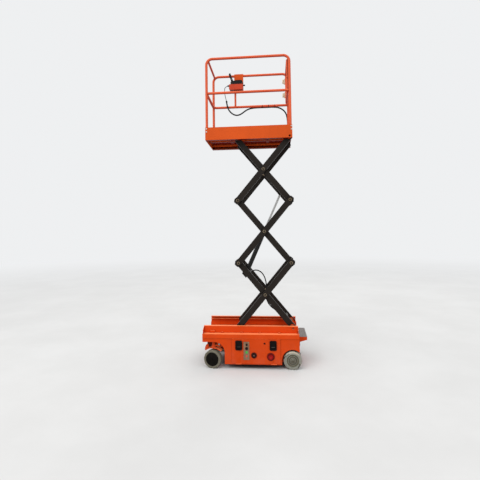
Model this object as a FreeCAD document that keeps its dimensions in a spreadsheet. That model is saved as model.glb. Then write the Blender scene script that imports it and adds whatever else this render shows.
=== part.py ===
import FreeCAD, Part
import math
import os
import re
import Sketcher

# Self-propelled scissor lift: a low chassis on four solid wheels, three stages of crossed
# arms and a caged platform. Millimetres. +X points to the entry step at the rear, +Z up,
# -Y is the near side with the ground controls. Pieces are drawn about the middle of the
# chassis at ground level and then moved so that the origin is under the middle of the
# machine's outer box.

V = FreeCAD.Vector
X_AXIS, Y_AXIS, Z_AXIS = V(1, 0, 0), V(0, 1, 0), V(0, 0, 1)

doc = FreeCAD.newDocument("scissor_lift")
sheet = doc.addObject("Spreadsheet::Sheet", "dims")

# Driving dimensions: alias, value and what it measures
DIMENSIONS = [
    ("plate", 5, "chassis sheet thickness"),
    ("body_half_long", 611, "chassis half length"),
    ("body_half_wide", 380, "chassis half width over the deck lips"),
    ("panel_face", 375, "half width over the lower side panels"),
    ("panel_bottom", 57, "underside of the side panels"),
    ("lip_bottom", 376, "underside of the deck lip"),
    ("deck_top", 428, "top of the deck ledge"),
    ("tray_floor", 385, "top of the tray floor between the rails"),
    ("front_bottom", 328, "underside of the corners over the front wheels"),
    ("rear_bottom", 252, "underside of the corners over the rear wheels"),
    ("rear_wall_bottom", 213, "lower edge of the rear wall behind the wheels"),
    ("rear_well", 250, "rear wheel well wall, out from the centre line"),
    ("arch", 133, "wheel arch radius"),
    ("arch_ahead", 460, "front arch centre, forward of the middle"),
    ("bay_front", 310, "front bulkhead, forward of the middle"),
    ("bay_rear", 390, "rear bulkhead, behind the middle"),
    ("axle_height", 112, "wheel centre above the ground"),
    ("tyre_radius", 112, "tyre outer radius"),
    ("tyre_width", 80, "tyre width"),
    ("tyre_inner", 84, "tyre seat radius"),
    ("tyre_round", 9, "tyre shoulder"),
    ("hub_half", 34, "hub half width at the tyre seat"),
    ("kingpin_ahead", 475, "kingpin forward of the middle"),
    ("kingpin_side", 310, "kingpin out from the centre line"),
    ("kingpin_radius", 15, "kingpin radius"),
    ("wheel_offset", 30, "front wheel centre outside its kingpin"),
    ("drive_shaft", 20, "drive shaft radius"),
    ("rear_axle", 523, "rear axle behind the middle"),
    ("rear_stub", 18, "rear stub axle radius"),
    ("rear_wheel_side", 338, "rear wheel centre out from the centre line"),
    ("steer_rest", 12, "angle at which the front wheels stand"),
    ("steer_arm", 75, "steering arm length"),
    ("saddle_bottom", 236, "underside of the knuckle saddle over the tyre"),
    ("saddle_reach", 106, "half length of the saddle"),
    ("saddle_drop", 29, "fall of the saddle towards its ends"),
    ("tie_rod_height", 292, "tie rod centre above the ground"),
    ("rail_outer", 300, "roller rail web, outer face"),
    ("rail_inner", 260, "roller rail flange edge"),
    ("rail_sheet", 3, "roller rail sheet thickness"),
    ("rail_front", 604, "rail front end, forward of the middle"),
    ("rail_back", 599, "rail rear end, behind the middle"),
    ("roller_radius", 15.7, "roller radius"),
    ("roller_room", 16, "half height inside a rail"),
    ("roller_width", 32, "roller width"),
    ("pivot_x", 533, "fixed pivots, behind the middle"),
    ("base_pivot", 494, "height of the lowest pivots"),
    ("stage_rise", 817, "height of one stage as it stands"),
    ("arm_span", 683.2, "length of one stage as it stands"),
    ("arm_depth", 74, "arm tube depth"),
    ("arm_width", 38, "arm tube width"),
    ("arm_wall", 4, "arm tube wall"),
    ("arm_tail", 48, "arm end past its pivot"),
    ("lug_tail", 40, "arm end past the platform's pivot"),
    ("roller_tail", 24, "arm end past the platform's rollers"),
    ("arm_chamfer", 16, "corner cut of an arm end"),
    ("inner_side", 193, "inner arm centre, out from the centre line"),
    ("outer_side", 236, "outer arm centre, out from the centre line"),
    ("pin_radius", 15, "pivot pin radius"),
    ("pin_slack", 0.05, "radial play of a pivot"),
    ("pin_head", 19, "pin head radius"),
    ("collar", 24, "pin collar radius"),
    ("cross_radius", 20, "cross tube radius"),
    ("low_cross", 100, "lower cross tube along an inner arm"),
    ("high_cross", 965, "upper cross tube along an inner arm"),
    ("barrel_cross", 985, "cross tube that carries the barrel, along the first inner arm"),
    ("rod_cross", 194, "cross tube that carries the rod, along the third inner arm"),
    ("rod_cross_above", 20, "that tube above the arm's middle"),
    ("barrel_pin_along", 893, "barrel pin along the first inner arm"),
    ("barrel_pin_below", 35, "barrel pin below that arm's middle"),
    ("barrel_pin", 12.5, "barrel pin bore radius"),
    ("eye_pin_along", 154, "rod eye pin along the third inner arm"),
    ("eye_pin_below", 30, "rod eye pin below that arm's middle"),
    ("barrel_radius", 29, "lift cylinder barrel radius"),
    ("barrel_length", 640, "barrel pin to the barrel's open end"),
    ("rod_radius", 14, "lift cylinder rod radius"),
    ("rod_length", 636, "rod past its eye"),
    ("eye_radius", 22, "outside radius of the cylinder's two eyes"),
    ("deck_front", 562, "platform front end, forward of the middle"),
    ("deck_back", 575, "platform entry end, behind the middle"),
    ("platform_side", 320, "platform half width"),
    ("deck_floor", 3000, "top of the platform floor"),
    ("toe_top", 3094, "top of the toe boards"),
    ("tube", 17, "guardrail tube radius"),
    ("slim_tube", 14, "gate, upright and front bar tube radius"),
    ("post_front", 542, "front guardrail posts, forward of the middle"),
    ("post_back", 553, "rear guardrail posts, behind the middle"),
    ("post_side", 300, "guardrail posts, out from the centre line"),
    ("post_foot", 3016, "lower end of the posts"),
    ("top_rail", 4018, "top rail centre height"),
    ("mid_rail", 3554, "mid rail centre height"),
    ("rail_bend", 80, "bend radius of the top rail"),
    ("corner_bend", 60, "bend radius of the mid rail round the far front corner"),
    ("upright", 217, "upright under the control box, forward of the middle"),
    ("gate_plane", 527, "gate frame, behind the middle"),
    ("hinge_plane", 519, "gate hinge axis, behind the middle"),
    ("gate_pivot", 286, "gate hinge axis, out from the centre line"),
    ("gate_side", 242, "gate frame tube by the hinges, out from the centre line"),
    ("gate_latch", 267, "gate frame tube by the latch, out from the centre line"),
    ("gate_top", 3980, "gate top tube centre height"),
    ("gate_bend", 40, "bend radius of the gate frame"),
    ("hinge_pin", 5, "gate hinge pin radius"),
    ("hinge_barrel", 9, "gate hinge barrel radius"),
    ("door_front", 237, "door front seam, forward of the middle"),
    ("door_rear", 374, "door rear seam, behind the middle"),
    ("door_bottom", 68, "door lower edge"),
    ("door_top", 374, "door upper edge"),
    ("door_gap", 0.5, "gap between a door and the side panel"),
    ("door_face", 381, "door outer face, out from the centre line"),
    ("door_axis_side", 380.5, "door hinge axis, out from the centre line"),
    ("door_axis_height", 62, "door hinge axis above the ground"),
    ("door_knuckle", 5, "door hinge knuckle radius"),
    ("door_pin", 2.5, "door hinge pin radius"),
    ("latch_wide", 84, "latch width"),
    ("latch_tall", 116, "latch height"),
    ("latch_bottom", 236, "latch lower edge"),
    ("step_reach", 716, "outer edge of the entry step"),
    ("step_half", 225, "half width of the entry step"),
    ("step_height", 370, "top of the entry step"),
    ("box_front", 301, "control box front end, forward of the middle"),
    ("box_rear", 98, "control box rear end, forward of the middle"),
    ("box_side", 246, "control box middle, out from the centre line"),
    ("box_deep", 64, "control box depth"),
    ("box_bottom", 3787, "underside of the control box"),
    ("box_top", 3869, "top of the painted control box"),
    ("bracket_side", 278, "control bracket plate, out from the centre line"),
]
for row, (alias, value, meaning) in enumerate(DIMENSIONS, start=1):
    sheet.set(f"A{row}", meaning)
    sheet.set(f"B{row}", str(value))
    sheet.setAlias(f"B{row}", alias)
doc.recompute()

D = {alias: float(value) for alias, value, meaning in DIMENSIONS}
MID_SHIFT = -(D["step_reach"] - D["body_half_long"]) / 2
NODES = {}
WORD = re.compile(r"[a-z][a-z_]*")

# Door hinges, latches, weld tabs and cable ties repeat at these places along the machine
DOOR_HINGES = (-150, 290)
LATCHES = (-190, 241)
RAIL_TABS = ((-492, 80, 30), (-363, 34, 12), (-117, 40, 12), (116, 34, 12), (362, 40, 12))

# Routes of the cords: along, out from the centre line, up
BOX_CABLE = [
    (-316, 246, 3851), (-338, 246, 3851), (-358, 247, 3839), (-369, 250, 3818), (-371, 254, 3776),
    (-367, 259, 3730), (-358, 264, 3686), (-349, 266, 3649), (-344, 266, 3618),
]
RAIL_CABLE = [
    (-344, 266, 3618), (-334, 266, 3556), (-309, 267, 3496), (-264, 268, 3446), (-206, 270, 3420),
    (-148, 276, 3432), (-104, 288, 3466), (-64, 308, 3502), (-16, 325, 3530), (50, 330, 3542),
    (130, 330, 3544), (226, 331, 3543), (316, 330, 3544), (388, 331, 3540), (446, 331, 3520),
    (496, 332, 3482), (528, 332, 3428), (540, 332, 3362), (544, 332, 3282), (543, 333, 3194),
    (544, 332, 3100), (544, 332, 2990),
]
CABLE_TIES = (10, 11, 12)
POST_TIE = 3250

# The hose on the first inner arm: along the arm, out from the centre line, below the arm's middle
HOSE = [
    (862, -52, -26), (862, -52, -62), (842, -58, -98), (804, -68, -126), (752, -80, -137), (691, -96, -126),
    (632, -116, -98), (584, -134, -60), (541, -146, -18), (498, -156, 18), (450, -161, 43), (396, -162, 54),
    (340, -161, 50), (286, -159, 34), (240, -157, 14), (206, -157, 14),
]


def sized(text):
    """The expression that reads the named dimensions from the sheet."""
    return WORD.sub(lambda found: "dims." + found.group() if found.group() in D else found.group(), str(text))


def bind(piece, **sizes):
    """Binds properties of a piece to the sheet; a double underscore stands for a dot."""
    for name, text in sizes.items():
        piece.setExpression(name.replace("__", "."), sized(text))
    return piece


def at(piece, x=0, y=0, z=0):
    """Binds where a piece stands."""
    return bind(piece, Placement__Base__x=x, Placement__Base__y=y, Placement__Base__z=z)


def box(x0, x1, y0, y1, z0, z1):
    """A block between two corners."""
    piece = doc.addObject("Part::Box", "block")
    bind(piece, Length=f"({x1}) - ({x0})", Width=f"({y1}) - ({y0})", Height=f"({z1}) - ({z0})")
    return at(piece, x0, y0, z0)


TURNS = {
    "x": FreeCAD.Rotation(Y_AXIS, 90),
    "y": FreeCAD.Rotation(X_AXIS, -90),
    "z": FreeCAD.Rotation(),
}


def rod(axis, radius, x, y, z, length):
    """A round bar that starts at a point and runs along +X, +Y or +Z."""
    piece = doc.addObject("Part::Cylinder", "bar")
    piece.Placement = FreeCAD.Placement(V(0, 0, 0), TURNS[axis])
    bind(piece, Radius=radius, Height=length)
    return at(piece, x, y, z)


def bend(x, y, z, first, second, radius, tube_radius):
    """A quarter turn of tube about a point, from one direction to another."""
    piece = doc.addObject("Part::Torus", "bend")
    piece.Placement = FreeCAD.Placement(V(0, 0, 0), FreeCAD.Rotation(first, second, first.cross(second), "XYZ"))
    piece.Angle3 = 90
    bind(piece, Radius1=radius, Radius2=tube_radius)
    return at(piece, x, y, z)


def joined(pieces, merge_faces=True):
    """Several pieces welded into one."""
    if len(pieces) == 1:
        return pieces[0]
    weld = doc.addObject("Part::MultiFuse", "weld")
    weld.Shapes = pieces
    weld.Refine = merge_faces
    return weld


def apart(pieces):
    """Several pieces that touch but stay separate solids."""
    group = doc.addObject("Part::Compound", "group")
    group.Links = pieces
    return group


def cut(base, tools):
    """A piece with other shapes taken out of it."""
    result = doc.addObject("Part::Cut", "cut")
    result.Base = base
    result.Tool = joined(tools)
    return result


def mirrored(piece):
    """The same piece on the other side of the centre line."""
    twin = doc.addObject("Part::Mirroring", "twin")
    twin.Source = piece
    twin.Normal = Y_AXIS
    return twin


def both_sides(piece):
    """A piece and its twin on the other side."""
    return joined([piece, mirrored(piece)])


def with_twins(pieces):
    """Pieces and their twins on the other side, all of them separate solids."""
    return pieces + [mirrored(piece) for piece in pieces]


def on_side(side, piece):
    """A piece drawn on the far side, or its twin on the near side."""
    return piece if side > 0 else mirrored(piece)


def rounded(x0, x1, y0, y1, z0, z1, corner):
    """A block whose four corners, seen from the side, are round."""
    left, right = f"({x0}) + {corner}", f"({x1}) - {corner}"
    low, high = f"({z0}) + {corner}", f"({z1}) - {corner}"
    pieces = [box(left, right, y0, y1, z0, z1), box(x0, x1, y0, y1, low, high)]
    for x in (left, right):
        for z in (low, high):
            pieces.append(rod("y", corner, x, y0, z, f"({y1}) - ({y0})"))
    return joined(pieces)


PLANES = {"side": "XZ_Plane", "end": "YZ_Plane"}


def sketched(view, points):
    """A body with a closed outline on one of its planes; each corner is bound to the sheet."""
    body = doc.addObject("PartDesign::Body", "body")
    sketch = body.newObject("Sketcher::SketchObject", "outline")
    plane = [item for item in body.Origin.OriginFeatures if item.Role == PLANES[view]][0]
    sketch.AttachmentSupport = [(plane, "")]
    sketch.MapMode = "FlatFace"
    count = len(points)
    turns = [2 * math.pi * n / count for n in range(count)]
    spread = [V(100 * math.cos(turn), 100 * math.sin(turn), 0) for turn in turns]
    for n in range(count):
        sketch.addGeometry(Part.LineSegment(spread[n], spread[(n + 1) % count]), False)
    for n in range(count):
        sketch.addConstraint(Sketcher.Constraint("Coincident", n, 2, (n + 1) % count, 1))
    for n, (across, up) in enumerate(points):
        for kind, text, start in (("DistanceX", across, spread[n].x), ("DistanceY", up, spread[n].y)):
            index = sketch.addConstraint(Sketcher.Constraint(kind, -1, 1, n, 1, start))
            sketch.setExpression(f"Constraints[{index}]", sized(text))
    return body, sketch


def plate_of(view, points, thickness, x=0, y=0, z=0):
    """A flat plate of a given outline, with the middle of its thickness at a point."""
    body, sketch = sketched(view, points)
    pad = body.newObject("PartDesign::Pad", "pad")
    pad.Profile = sketch
    pad.SideType = "Symmetric"
    bind(pad, Length=thickness)
    return at(body, x, y, z)


def turned(points):
    """A solid of revolution about its own Z axis, from corners of radius and height."""
    body, sketch = sketched("side", points)
    revolution = body.newObject("PartDesign::Revolution", "revolution")
    revolution.Profile = sketch
    revolution.ReferenceAxis = (sketch, ["V_Axis"])
    revolution.Angle = 360
    return body


def corner_turns(points):
    """Half of the turn at each inner point of a route, and the shorter of the two runs there."""
    turns = []
    for before, corner, after in zip(points, points[1:], points[2:]):
        back, ahead = before - corner, after - corner
        turns.append(((math.pi - back.getAngle(ahead)) / 2, min(back.Length, ahead.Length)))
    return turns


def cord(name, points, diameter, placement=FreeCAD.Placement()):
    """A cord along a route: straight runs joined by the largest arcs that they allow."""
    radii = [0.45 * run / math.tan(half) for half, run in corner_turns(points)]
    edges = []
    start = points[0]
    for n, radius in enumerate(radii, start=1):
        corner = points[n]
        back = (points[n - 1] - corner).normalize()
        ahead = (points[n + 1] - corner).normalize()
        half = (math.pi - back.getAngle(ahead)) / 2
        arc_start = corner + back * (radius * math.tan(half))
        arc_end = corner + ahead * (radius * math.tan(half))
        inward = (back + ahead).normalize()
        middle = corner + inward * (radius / math.cos(half) - radius)
        edges.append(Part.LineSegment(start, arc_start).toShape())
        edges.append(Part.Arc(arc_start, middle, arc_end).toShape())
        start = arc_end
    edges.append(Part.LineSegment(start, points[-1]).toShape())
    path = Part.Wire(edges)
    ring = Part.Wire(Part.Circle(points[0], points[1] - points[0], diameter / 2).toShape())
    piece = doc.addObject("Part::Feature", "cord")
    piece.Shape = path.makePipeShell([ring], True, False)
    share = piece.Shape.Volume / (math.pi * diameter ** 2 / 4 * path.Length)
    print(name, "length", round(path.Length), "volume share", round(share, 4), "radii", [round(r) for r in radii])
    node(name, piece, placement)


def node(name, piece, placement=FreeCAD.Placement()):
    """Names a finished sub-part and moves it from the chassis middle to the part's frame."""
    holder = doc.addObject("Part::Compound", "holder")
    holder.Links = [piece]
    holder.Placement = FreeCAD.Placement(V(MID_SHIFT, 0, 0), FreeCAD.Rotation()).multiply(placement)
    holder.Label = name
    NODES[name] = holder


# Chassis


def door_hinge_half(along, lengths, leaf):
    """Knuckles and leaves of one half of a door hinge, from pairs of ends along its axis."""
    pieces = []
    for start, end in lengths:
        length = end - start
        pieces.append(rod("x", "door_knuckle", along + start, "door_axis_side", "door_axis_height", length))
        pieces.append(box(along + start, along + end, *leaf))
    return pieces


def side_panels():
    """Lower side panels with the wheel arches, the door openings and the doors' hinge halves."""
    inner, outer = "panel_face - 2 * plate", "panel_face + plate"
    arch_front = "front_bottom - arch"
    outline = [
        ("-body_half_long", "deck_top - plate"), ("-body_half_long", "front_bottom"),
        ("-arch_ahead", "front_bottom"), ("-arch_ahead + arch", arch_front),
        ("-arch_ahead + arch", "panel_bottom"), ("body_half_long", "panel_bottom"),
        ("body_half_long", "deck_top - plate"),
    ]
    panel = plate_of("side", outline, "plate", y="panel_face - plate / 2")
    cuts = [
        rod("y", "arch", "-arch_ahead", inner, arch_front, "3 * plate"),
        rod("y", "arch", "rear_axle", inner, "axle_height", "3 * plate"),
        box("rear_axle - arch", "body_half_long + plate", inner, outer, "panel_bottom - plate", "axle_height"),
        box("rear_axle", "body_half_long + plate", inner, outer, "axle_height", "rear_wall_bottom"),
        box("-door_front + 22", "door_rear - 22", inner, outer, "panel_bottom + 28", "lip_bottom - 16"),
    ]
    pieces = [cut(panel, cuts)]
    leaf = ("panel_face - 4", "panel_face + 6", "panel_bottom + 1", "door_axis_height")
    for along in DOOR_HINGES:
        half = joined(door_hinge_half(along, [(-15, 15)], leaf))
        bore = rod("x", "door_pin + pin_slack", along - 20, "door_axis_side", "door_axis_height", 40)
        pieces.append(cut(half, [bore]))
    node("side_panels", both_sides(joined(pieces)))


def underframe():
    """Floors, bulkheads, end walls and rear wheel wells, the front axle beam and its kingpins."""
    inside = "panel_face - plate"
    on_floor = "panel_bottom + plate"
    under_tray = "tray_floor - plate"
    front, rear = "-body_half_long", "body_half_long"
    # Sheets across the machine: front and rear edge, half width, lower and upper edge
    sheets = [
        ("-bay_front", "bay_rear", inside, "panel_bottom", on_floor),
        ("-bay_front", "-bay_front + plate", inside, on_floor, under_tray),
        ("bay_rear - plate", "bay_rear", inside, on_floor, under_tray),
        (front, f"{front} + plate", inside, "front_bottom + plate", under_tray),
        (front, "-bay_front", inside, "front_bottom", "front_bottom + plate"),
        ("-kingpin_ahead - 35", "-kingpin_ahead + 35", "kingpin_side - 55", "front_bottom - 30", "front_bottom"),
        (f"{rear} - plate", rear, inside, "rear_wall_bottom", under_tray),
        (f"{rear} - plate", rear, "rear_well", on_floor, "rear_wall_bottom"),
        ("bay_rear", rear, "rear_well", "panel_bottom", on_floor),
    ]
    pieces = [box(x0, x1, f"-({half})", half, z0, z1) for x0, x1, half, z0, z1 in sheets]
    kingpin = [
        rod("z", 24, "-kingpin_ahead", "kingpin_side", "front_bottom - 8", 8),
        rod("z", "kingpin_radius", "-kingpin_ahead", "kingpin_side", "front_bottom - 80", 76),
    ]
    side = [
        box("bay_rear", f"{rear} - plate", "rear_well - plate", "rear_well", on_floor, under_tray),
        box("bay_rear", f"{rear} - plate", "rear_well", inside, "rear_bottom", "rear_bottom + plate"),
        joined(kingpin),
    ]
    node("underframe", apart(pieces + with_twins(side)))


def deck_tray():
    """Top deck: side ledges with folded lips, and the lower floor between the rails."""
    front, rear = "-body_half_long", "body_half_long"
    riser, under_ledge = "rail_outer + plate", "deck_top - plate"
    floor = box(front, rear, f"-({riser})", riser, "tray_floor - plate", "tray_floor")
    side = [
        box(front, rear, "rail_outer", "body_half_wide", under_ledge, "deck_top"),
        box(front, rear, "panel_face", "body_half_wide", "lip_bottom", under_ledge),
        box(front, rear, "rail_outer", riser, "tray_floor", under_ledge),
    ]
    for end in (front, f"{rear} - plate"):
        side.append(box(end, f"{end} + plate", riser, "panel_face - plate", "tray_floor - plate", under_ledge))
    node("deck_tray", apart([floor] + with_twins(side)))


def roller_rails():
    """C-channels that guide the lower rollers, with an end gusset each and tabs welded to the ledge."""
    top, low = "base_pivot + roller_room", "base_pivot - roller_room"
    front, back, web = "-rail_front", "rail_back", "rail_outer - rail_sheet"
    access = rod("y", 15, "pivot_x + 6", "rail_inner - 20", "base_pivot - 8", 60)
    side = [
        cut(box(front, back, web, "rail_outer", "tray_floor", f"{top} + rail_sheet"), [access]),
        box(front, back, "rail_inner", web, top, f"{top} + rail_sheet"),
        box(front, back, "rail_inner", web, f"{low} - rail_sheet", low),
    ]
    gusset = [("rail_outer", "deck_top"), ("body_half_wide - 1", "deck_top"),
              ("body_half_wide - 1", "deck_top + 50"), ("rail_outer + 8", top), ("rail_outer", top)]
    for x in (f"{front} + 2", f"{back} - 2"):
        side.append(plate_of("end", gusset, 4, x=x))
    for along, wide, tall in RAIL_TABS:
        edge = [(along - wide / 2, "deck_top"), (along + wide / 2, "deck_top"),
                (along + wide / 3, f"deck_top + {tall}"), (along - wide / 3, f"deck_top + {tall}")]
        side.append(plate_of("side", edge, 14, y="rail_outer + 7"))
    node("roller_rails", apart(with_twins(side)))


def base_pivots():
    """Lugs on the tray floor that hold the first inner arms, and their pins."""
    profile = [("pivot_x - 60", "tray_floor"), ("pivot_x + 60", "tray_floor"),
               ("pivot_x + 28", "base_pivot + 10"), ("pivot_x + 12", "base_pivot + 28"),
               ("pivot_x - 12", "base_pivot + 28"), ("pivot_x - 28", "base_pivot + 10")]
    lugs = [plate_of("side", profile, 8, y=y) for y in ("inner_side - 28", "inner_side + 28")]
    bore = rod("y", "pin_radius", "pivot_x", "inner_side - 40", "base_pivot", 80)
    node("base_pivot_lugs", both_sides(cut(joined(lugs), [bore])))
    pin = rod("y", "pin_radius", "pivot_x", "inner_side - 32", "base_pivot", 64)
    head = rod("y", "pin_head", "pivot_x", "inner_side + 32", "base_pivot", 5)
    keeper = rod("y", "pin_head", "pivot_x", "inner_side - 37", "base_pivot", 5)
    node("base_pivot_pins", both_sides(joined([pin, head, keeper])))


def rear_step():
    """Entry step at the rear: two side gussets and a tread plate with a folded front edge."""
    gusset = [("body_half_long", "step_height - plate"), ("step_reach", "step_height - plate"),
              ("step_reach", "step_height - 42"), ("body_half_long", "step_height - 71")]
    node("rear_step", both_sides(plate_of("side", gusset, "plate", y="step_half - plate / 2")))
    inside = "step_half - plate"
    tread = box("body_half_long", "step_reach", "-step_half", "step_half", "step_height - plate", "step_height")
    fold = box("step_reach - plate", "step_reach", f"-({inside})", inside, "step_height - 30", "step_height - plate")
    node("step_tread", joined([tread, fold]))


def rear_axle():
    """Stub axles of the rear wheels, with their flanges on the well walls."""
    flange = rod("y", 45, "rear_axle", "rear_well", "axle_height", 12)
    stub = rod("y", "rear_stub", "rear_axle", "rear_well", "axle_height", "rear_wheel_side + 10 - rear_well")
    node("rear_axle_stubs", both_sides(joined([flange, stub])))


def power_packs():
    """Batteries, pump unit and oil tank in the bay behind the doors, as plain blocks."""
    floor = "panel_bottom + plate"
    batteries = [rounded(x, x + 125, y, y + 330, floor, 290, 10) for x in (-290, -160) for y in (-340, 10)]
    pump = box(60, 300, -200, 200, floor, 230)
    tank = rod("x", 75, 90, 0, 290, 190)
    node("power_packs", joined(batteries + [joined([pump, tank])]))


# Doors


def doors():
    """Fold-down side doors with an inner flange, hinge halves with their pins, and paddle latches."""
    inner = "panel_face + door_gap"
    leaf = (f"{inner} + 0.5", "door_face", "door_axis_height", "door_bottom + 2")
    for name, side in (("near", -1), ("far", 1)):
        pieces = [box("-door_front", "door_rear", inner, "door_face", "door_bottom", "door_top")]
        rim = box("-door_front + 30", "door_rear - 30", f"{inner} - 12", inner, "panel_bottom + 36", "lip_bottom - 24")
        hollow = box("-door_front + 33", "door_rear - 33", f"{inner} - 13", inner, "panel_bottom + 39",
                     "lip_bottom - 27")
        pieces.append(cut(rim, [hollow]))
        for along in DOOR_HINGES:
            pieces += door_hinge_half(along, [(-36, -16), (16, 36)], leaf)
            pieces.append(rod("x", "door_pin", along - 36, "door_axis_side", "door_axis_height", 72))
        door = joined(pieces)
        if side < 0:
            door = cut(door, [rod("y", 10, 176, f"{inner} - 5", 319, 20)])
        node(f"door_{name}", on_side(side, door))
        latches = []
        for x in LATCHES:
            top = "latch_bottom + latch_tall"
            frame = rounded(x, f"{x} + latch_wide", "door_face", "door_face + 11", "latch_bottom", top, 12)
            pocket = box(x + 12, f"{x} + latch_wide - 12", "door_face + 4", "door_face + 15",
                         "latch_bottom + 14", f"{top} - 12")
            paddle = box(x + 14, f"{x} + latch_wide - 14", "door_face + 2", "door_face + 9",
                         "latch_bottom + 30", f"{top} - 14")
            latches.append(joined([cut(frame, [pocket]), paddle]))
        node(f"door_{name}_latches", on_side(side, joined(latches)))


def ground_controls():
    """Control plate, switches and stop button on the near door."""
    face = "door_face"
    node("control_plate", mirrored(rounded(-88, -15, face, f"{face} + 3", 116, 339, 5)))
    key_ring = cut(rod("y", 34, 42, face, 173, 9), [rod("y", 25, 42, f"{face} + 4", 173, 9)])
    switches = [
        joined([key_ring, rod("y", 13, 42, face, 173, 14)]),
        joined([rod("y", 11, -48, f"{face} + 3", 304, 5), rod("y", 5, -48, f"{face} + 3", 304, 22)]),
        joined([rod("y", 18, -49, f"{face} + 3", 257, 6), rod("y", 13, -49, f"{face} + 3", 257, 20)]),
    ]
    node("ground_switches", mirrored(joined(switches)))
    ring = rod("y", 47, 252, face, 158, 8)
    stem = rod("y", 18, 252, face, 158, 24)
    mushroom = rod("y", 28, 252, f"{face} + 20", 158, 10)
    crown = rod("y", 22, 252, f"{face} + 30", 158, 5)
    node("stop_button", mirrored(joined([ring, stem, mushroom, crown])))


# Wheels and steering


def tyre_section():
    """Corners of the tyre's section: radius and place across the width."""
    half = "tyre_width / 2"
    return [
        ("tyre_inner", "-hub_half"), ("tyre_radius - 12", f"-{half}"), ("tyre_radius", f"-{half} + tyre_round"),
        ("tyre_radius", f"{half} - tyre_round"), ("tyre_radius - 12", half), ("tyre_inner", "hub_half"),
    ]


def front_hub_section():
    """Hub of a driven wheel: a rim with a raised cover disc, bored for the drive shaft."""
    bore = "drive_shaft + pin_slack"
    return [(0, -5), (bore, -5), (bore, "-hub_half"), ("tyre_inner", "-hub_half"), ("tyre_inner", "hub_half"),
            ("tyre_inner - 4", "hub_half + 6"), (12, "hub_half + 9"), (10, "hub_half + 13"), (0, "hub_half + 13")]


def rear_hub_section():
    """Hub of a rear wheel: concentric rings and a bearing cap, bored for its stub axle."""
    bore = "rear_stub + pin_slack"
    return [(bore, "-hub_half"), ("tyre_inner", "-hub_half"), ("tyre_inner", "hub_half"), (77, "hub_half + 4"),
            (55, "hub_half - 4"), (36, "hub_half + 6"), (18, "hub_half + 10"), (15, "hub_half + 16"),
            (0, "hub_half + 16"), (0, 12), (bore, 12)]


def steered(side):
    """The frame of a front wheel's kingpin, at ground level, as the wheels stand."""
    return FreeCAD.Placement(V(-D["kingpin_ahead"], side * D["kingpin_side"], 0),
                             FreeCAD.Rotation(Z_AXIS, -D["steer_rest"]))


def wheels():
    """Four wheels, each a tyre on its hub; a revolved piece's own Z axis points out of the machine."""
    for name, side in (("near", -1), ("far", 1)):
        facing = FreeCAD.Rotation(X_AXIS, -90 * side)
        front = steered(side).multiply(FreeCAD.Placement(V(0, side * D["wheel_offset"], D["axle_height"]), facing))
        rear = FreeCAD.Placement(V(D["rear_axle"], side * D["rear_wheel_side"], D["axle_height"]), facing)
        node(f"tyre_front_{name}", turned(tyre_section()), front)
        node(f"hub_front_{name}", turned(front_hub_section()), front)
        node(f"tyre_rear_{name}", turned(tyre_section()), rear)
        node(f"hub_rear_{name}", turned(rear_hub_section()), rear)


def knuckles():
    """Steering knuckles: a flared kingpin boss on a saddle that arches over the tyre, a plate down
    the wheel's inner side with the drive motor, a steering arm and an ear at the front."""
    low, sheet_up = "saddle_bottom", "saddle_bottom + 10"
    end_low, end_high = "saddle_bottom - saddle_drop", "saddle_bottom - saddle_drop + 9"
    saddle = [
        ("-saddle_reach", end_low), (-44, low), (46, low), ("saddle_reach", end_low), ("saddle_reach + 4", end_high),
        (50, sheet_up), (-48, sheet_up), ("-saddle_reach - 4", end_high),
    ]
    ear = [(-108, 210), (-74, 228), (-60, 236), (-66, 284), (-80, 292), (-102, 268), (-114, 230)]
    bore = "kingpin_radius + pin_slack"
    boss = [(bore, 238), (38, 238), (38, 248), (29, 262), (21.5, 290), (21.5, "front_bottom - 10"),
            (bore, "front_bottom - 10")]
    arm = "tie_rod_height - 24"
    for name, side in (("near", -1), ("far", 1)):
        pieces = [
            turned(boss),
            plate_of("side", saddle, 76, y=-6),
            plate_of("side", ear, 10, y=22),
            box(-32, 32, -36, -24, 62, low),
            rod("y", 42, 0, -60, "axle_height", 40),
            rod("y", "drive_shaft", 0, -40, "axle_height", 64.5),
            box(18, "steer_arm", -14, 14, arm, f"{arm} + 12"),
            rod("z", 16, "steer_arm", 0, arm, 12),
        ]
        holes = [
            rod("z", bore, 0, 0, 230, 100),
            rod("z", 6.05, "steer_arm", 0, f"{arm} - 8", 30),
        ]
        node(f"knuckle_{name}", on_side(side, cut(joined(pieces, merge_faces=False), holes)), steered(side))


def tie_rod():
    """Bar between the two steering arms."""
    turn = "steer_rest * 1 deg"
    x = f"-kingpin_ahead + steer_arm * cos({turn})"
    y = f"-steer_arm * sin({turn})"
    pieces = [rod("y", 9, x, f"{y} - kingpin_side + 8", "tie_rod_height", "2 * kingpin_side - 16")]
    for end in ("-kingpin_side", "kingpin_side"):
        pieces.append(rod("z", 15, x, f"{y} + {end}", "tie_rod_height - 11", 22))
        pieces.append(rod("z", 6, x, f"{y} + {end}", "tie_rod_height - 28", 20))
    node("tie_rod", joined(pieces))


# Scissor stack

ARM_ANGLE = math.degrees(math.atan2(D["stage_rise"], D["arm_span"]))
LONG = "sqrt(stage_rise ^ 2 + arm_span ^ 2)"


def inner_place(stage):
    """Where an inner pair hangs: its own X axis runs from its lower right pivot up to the left."""
    turn = FreeCAD.Rotation(Y_AXIS, 180 + ARM_ANGLE)
    return FreeCAD.Placement(V(D["pivot_x"], 0, D["base_pivot"] + (stage - 1) * D["stage_rise"]), turn)


def outer_place(stage):
    """Where an outer pair stands: its own X axis runs from its lower left pivot up to the right."""
    turn = FreeCAD.Rotation(Y_AXIS, -ARM_ANGLE)
    left = D["pivot_x"] - D["arm_span"]
    return FreeCAD.Placement(V(left, 0, D["base_pivot"] + (stage - 1) * D["stage_rise"]), turn)


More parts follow.
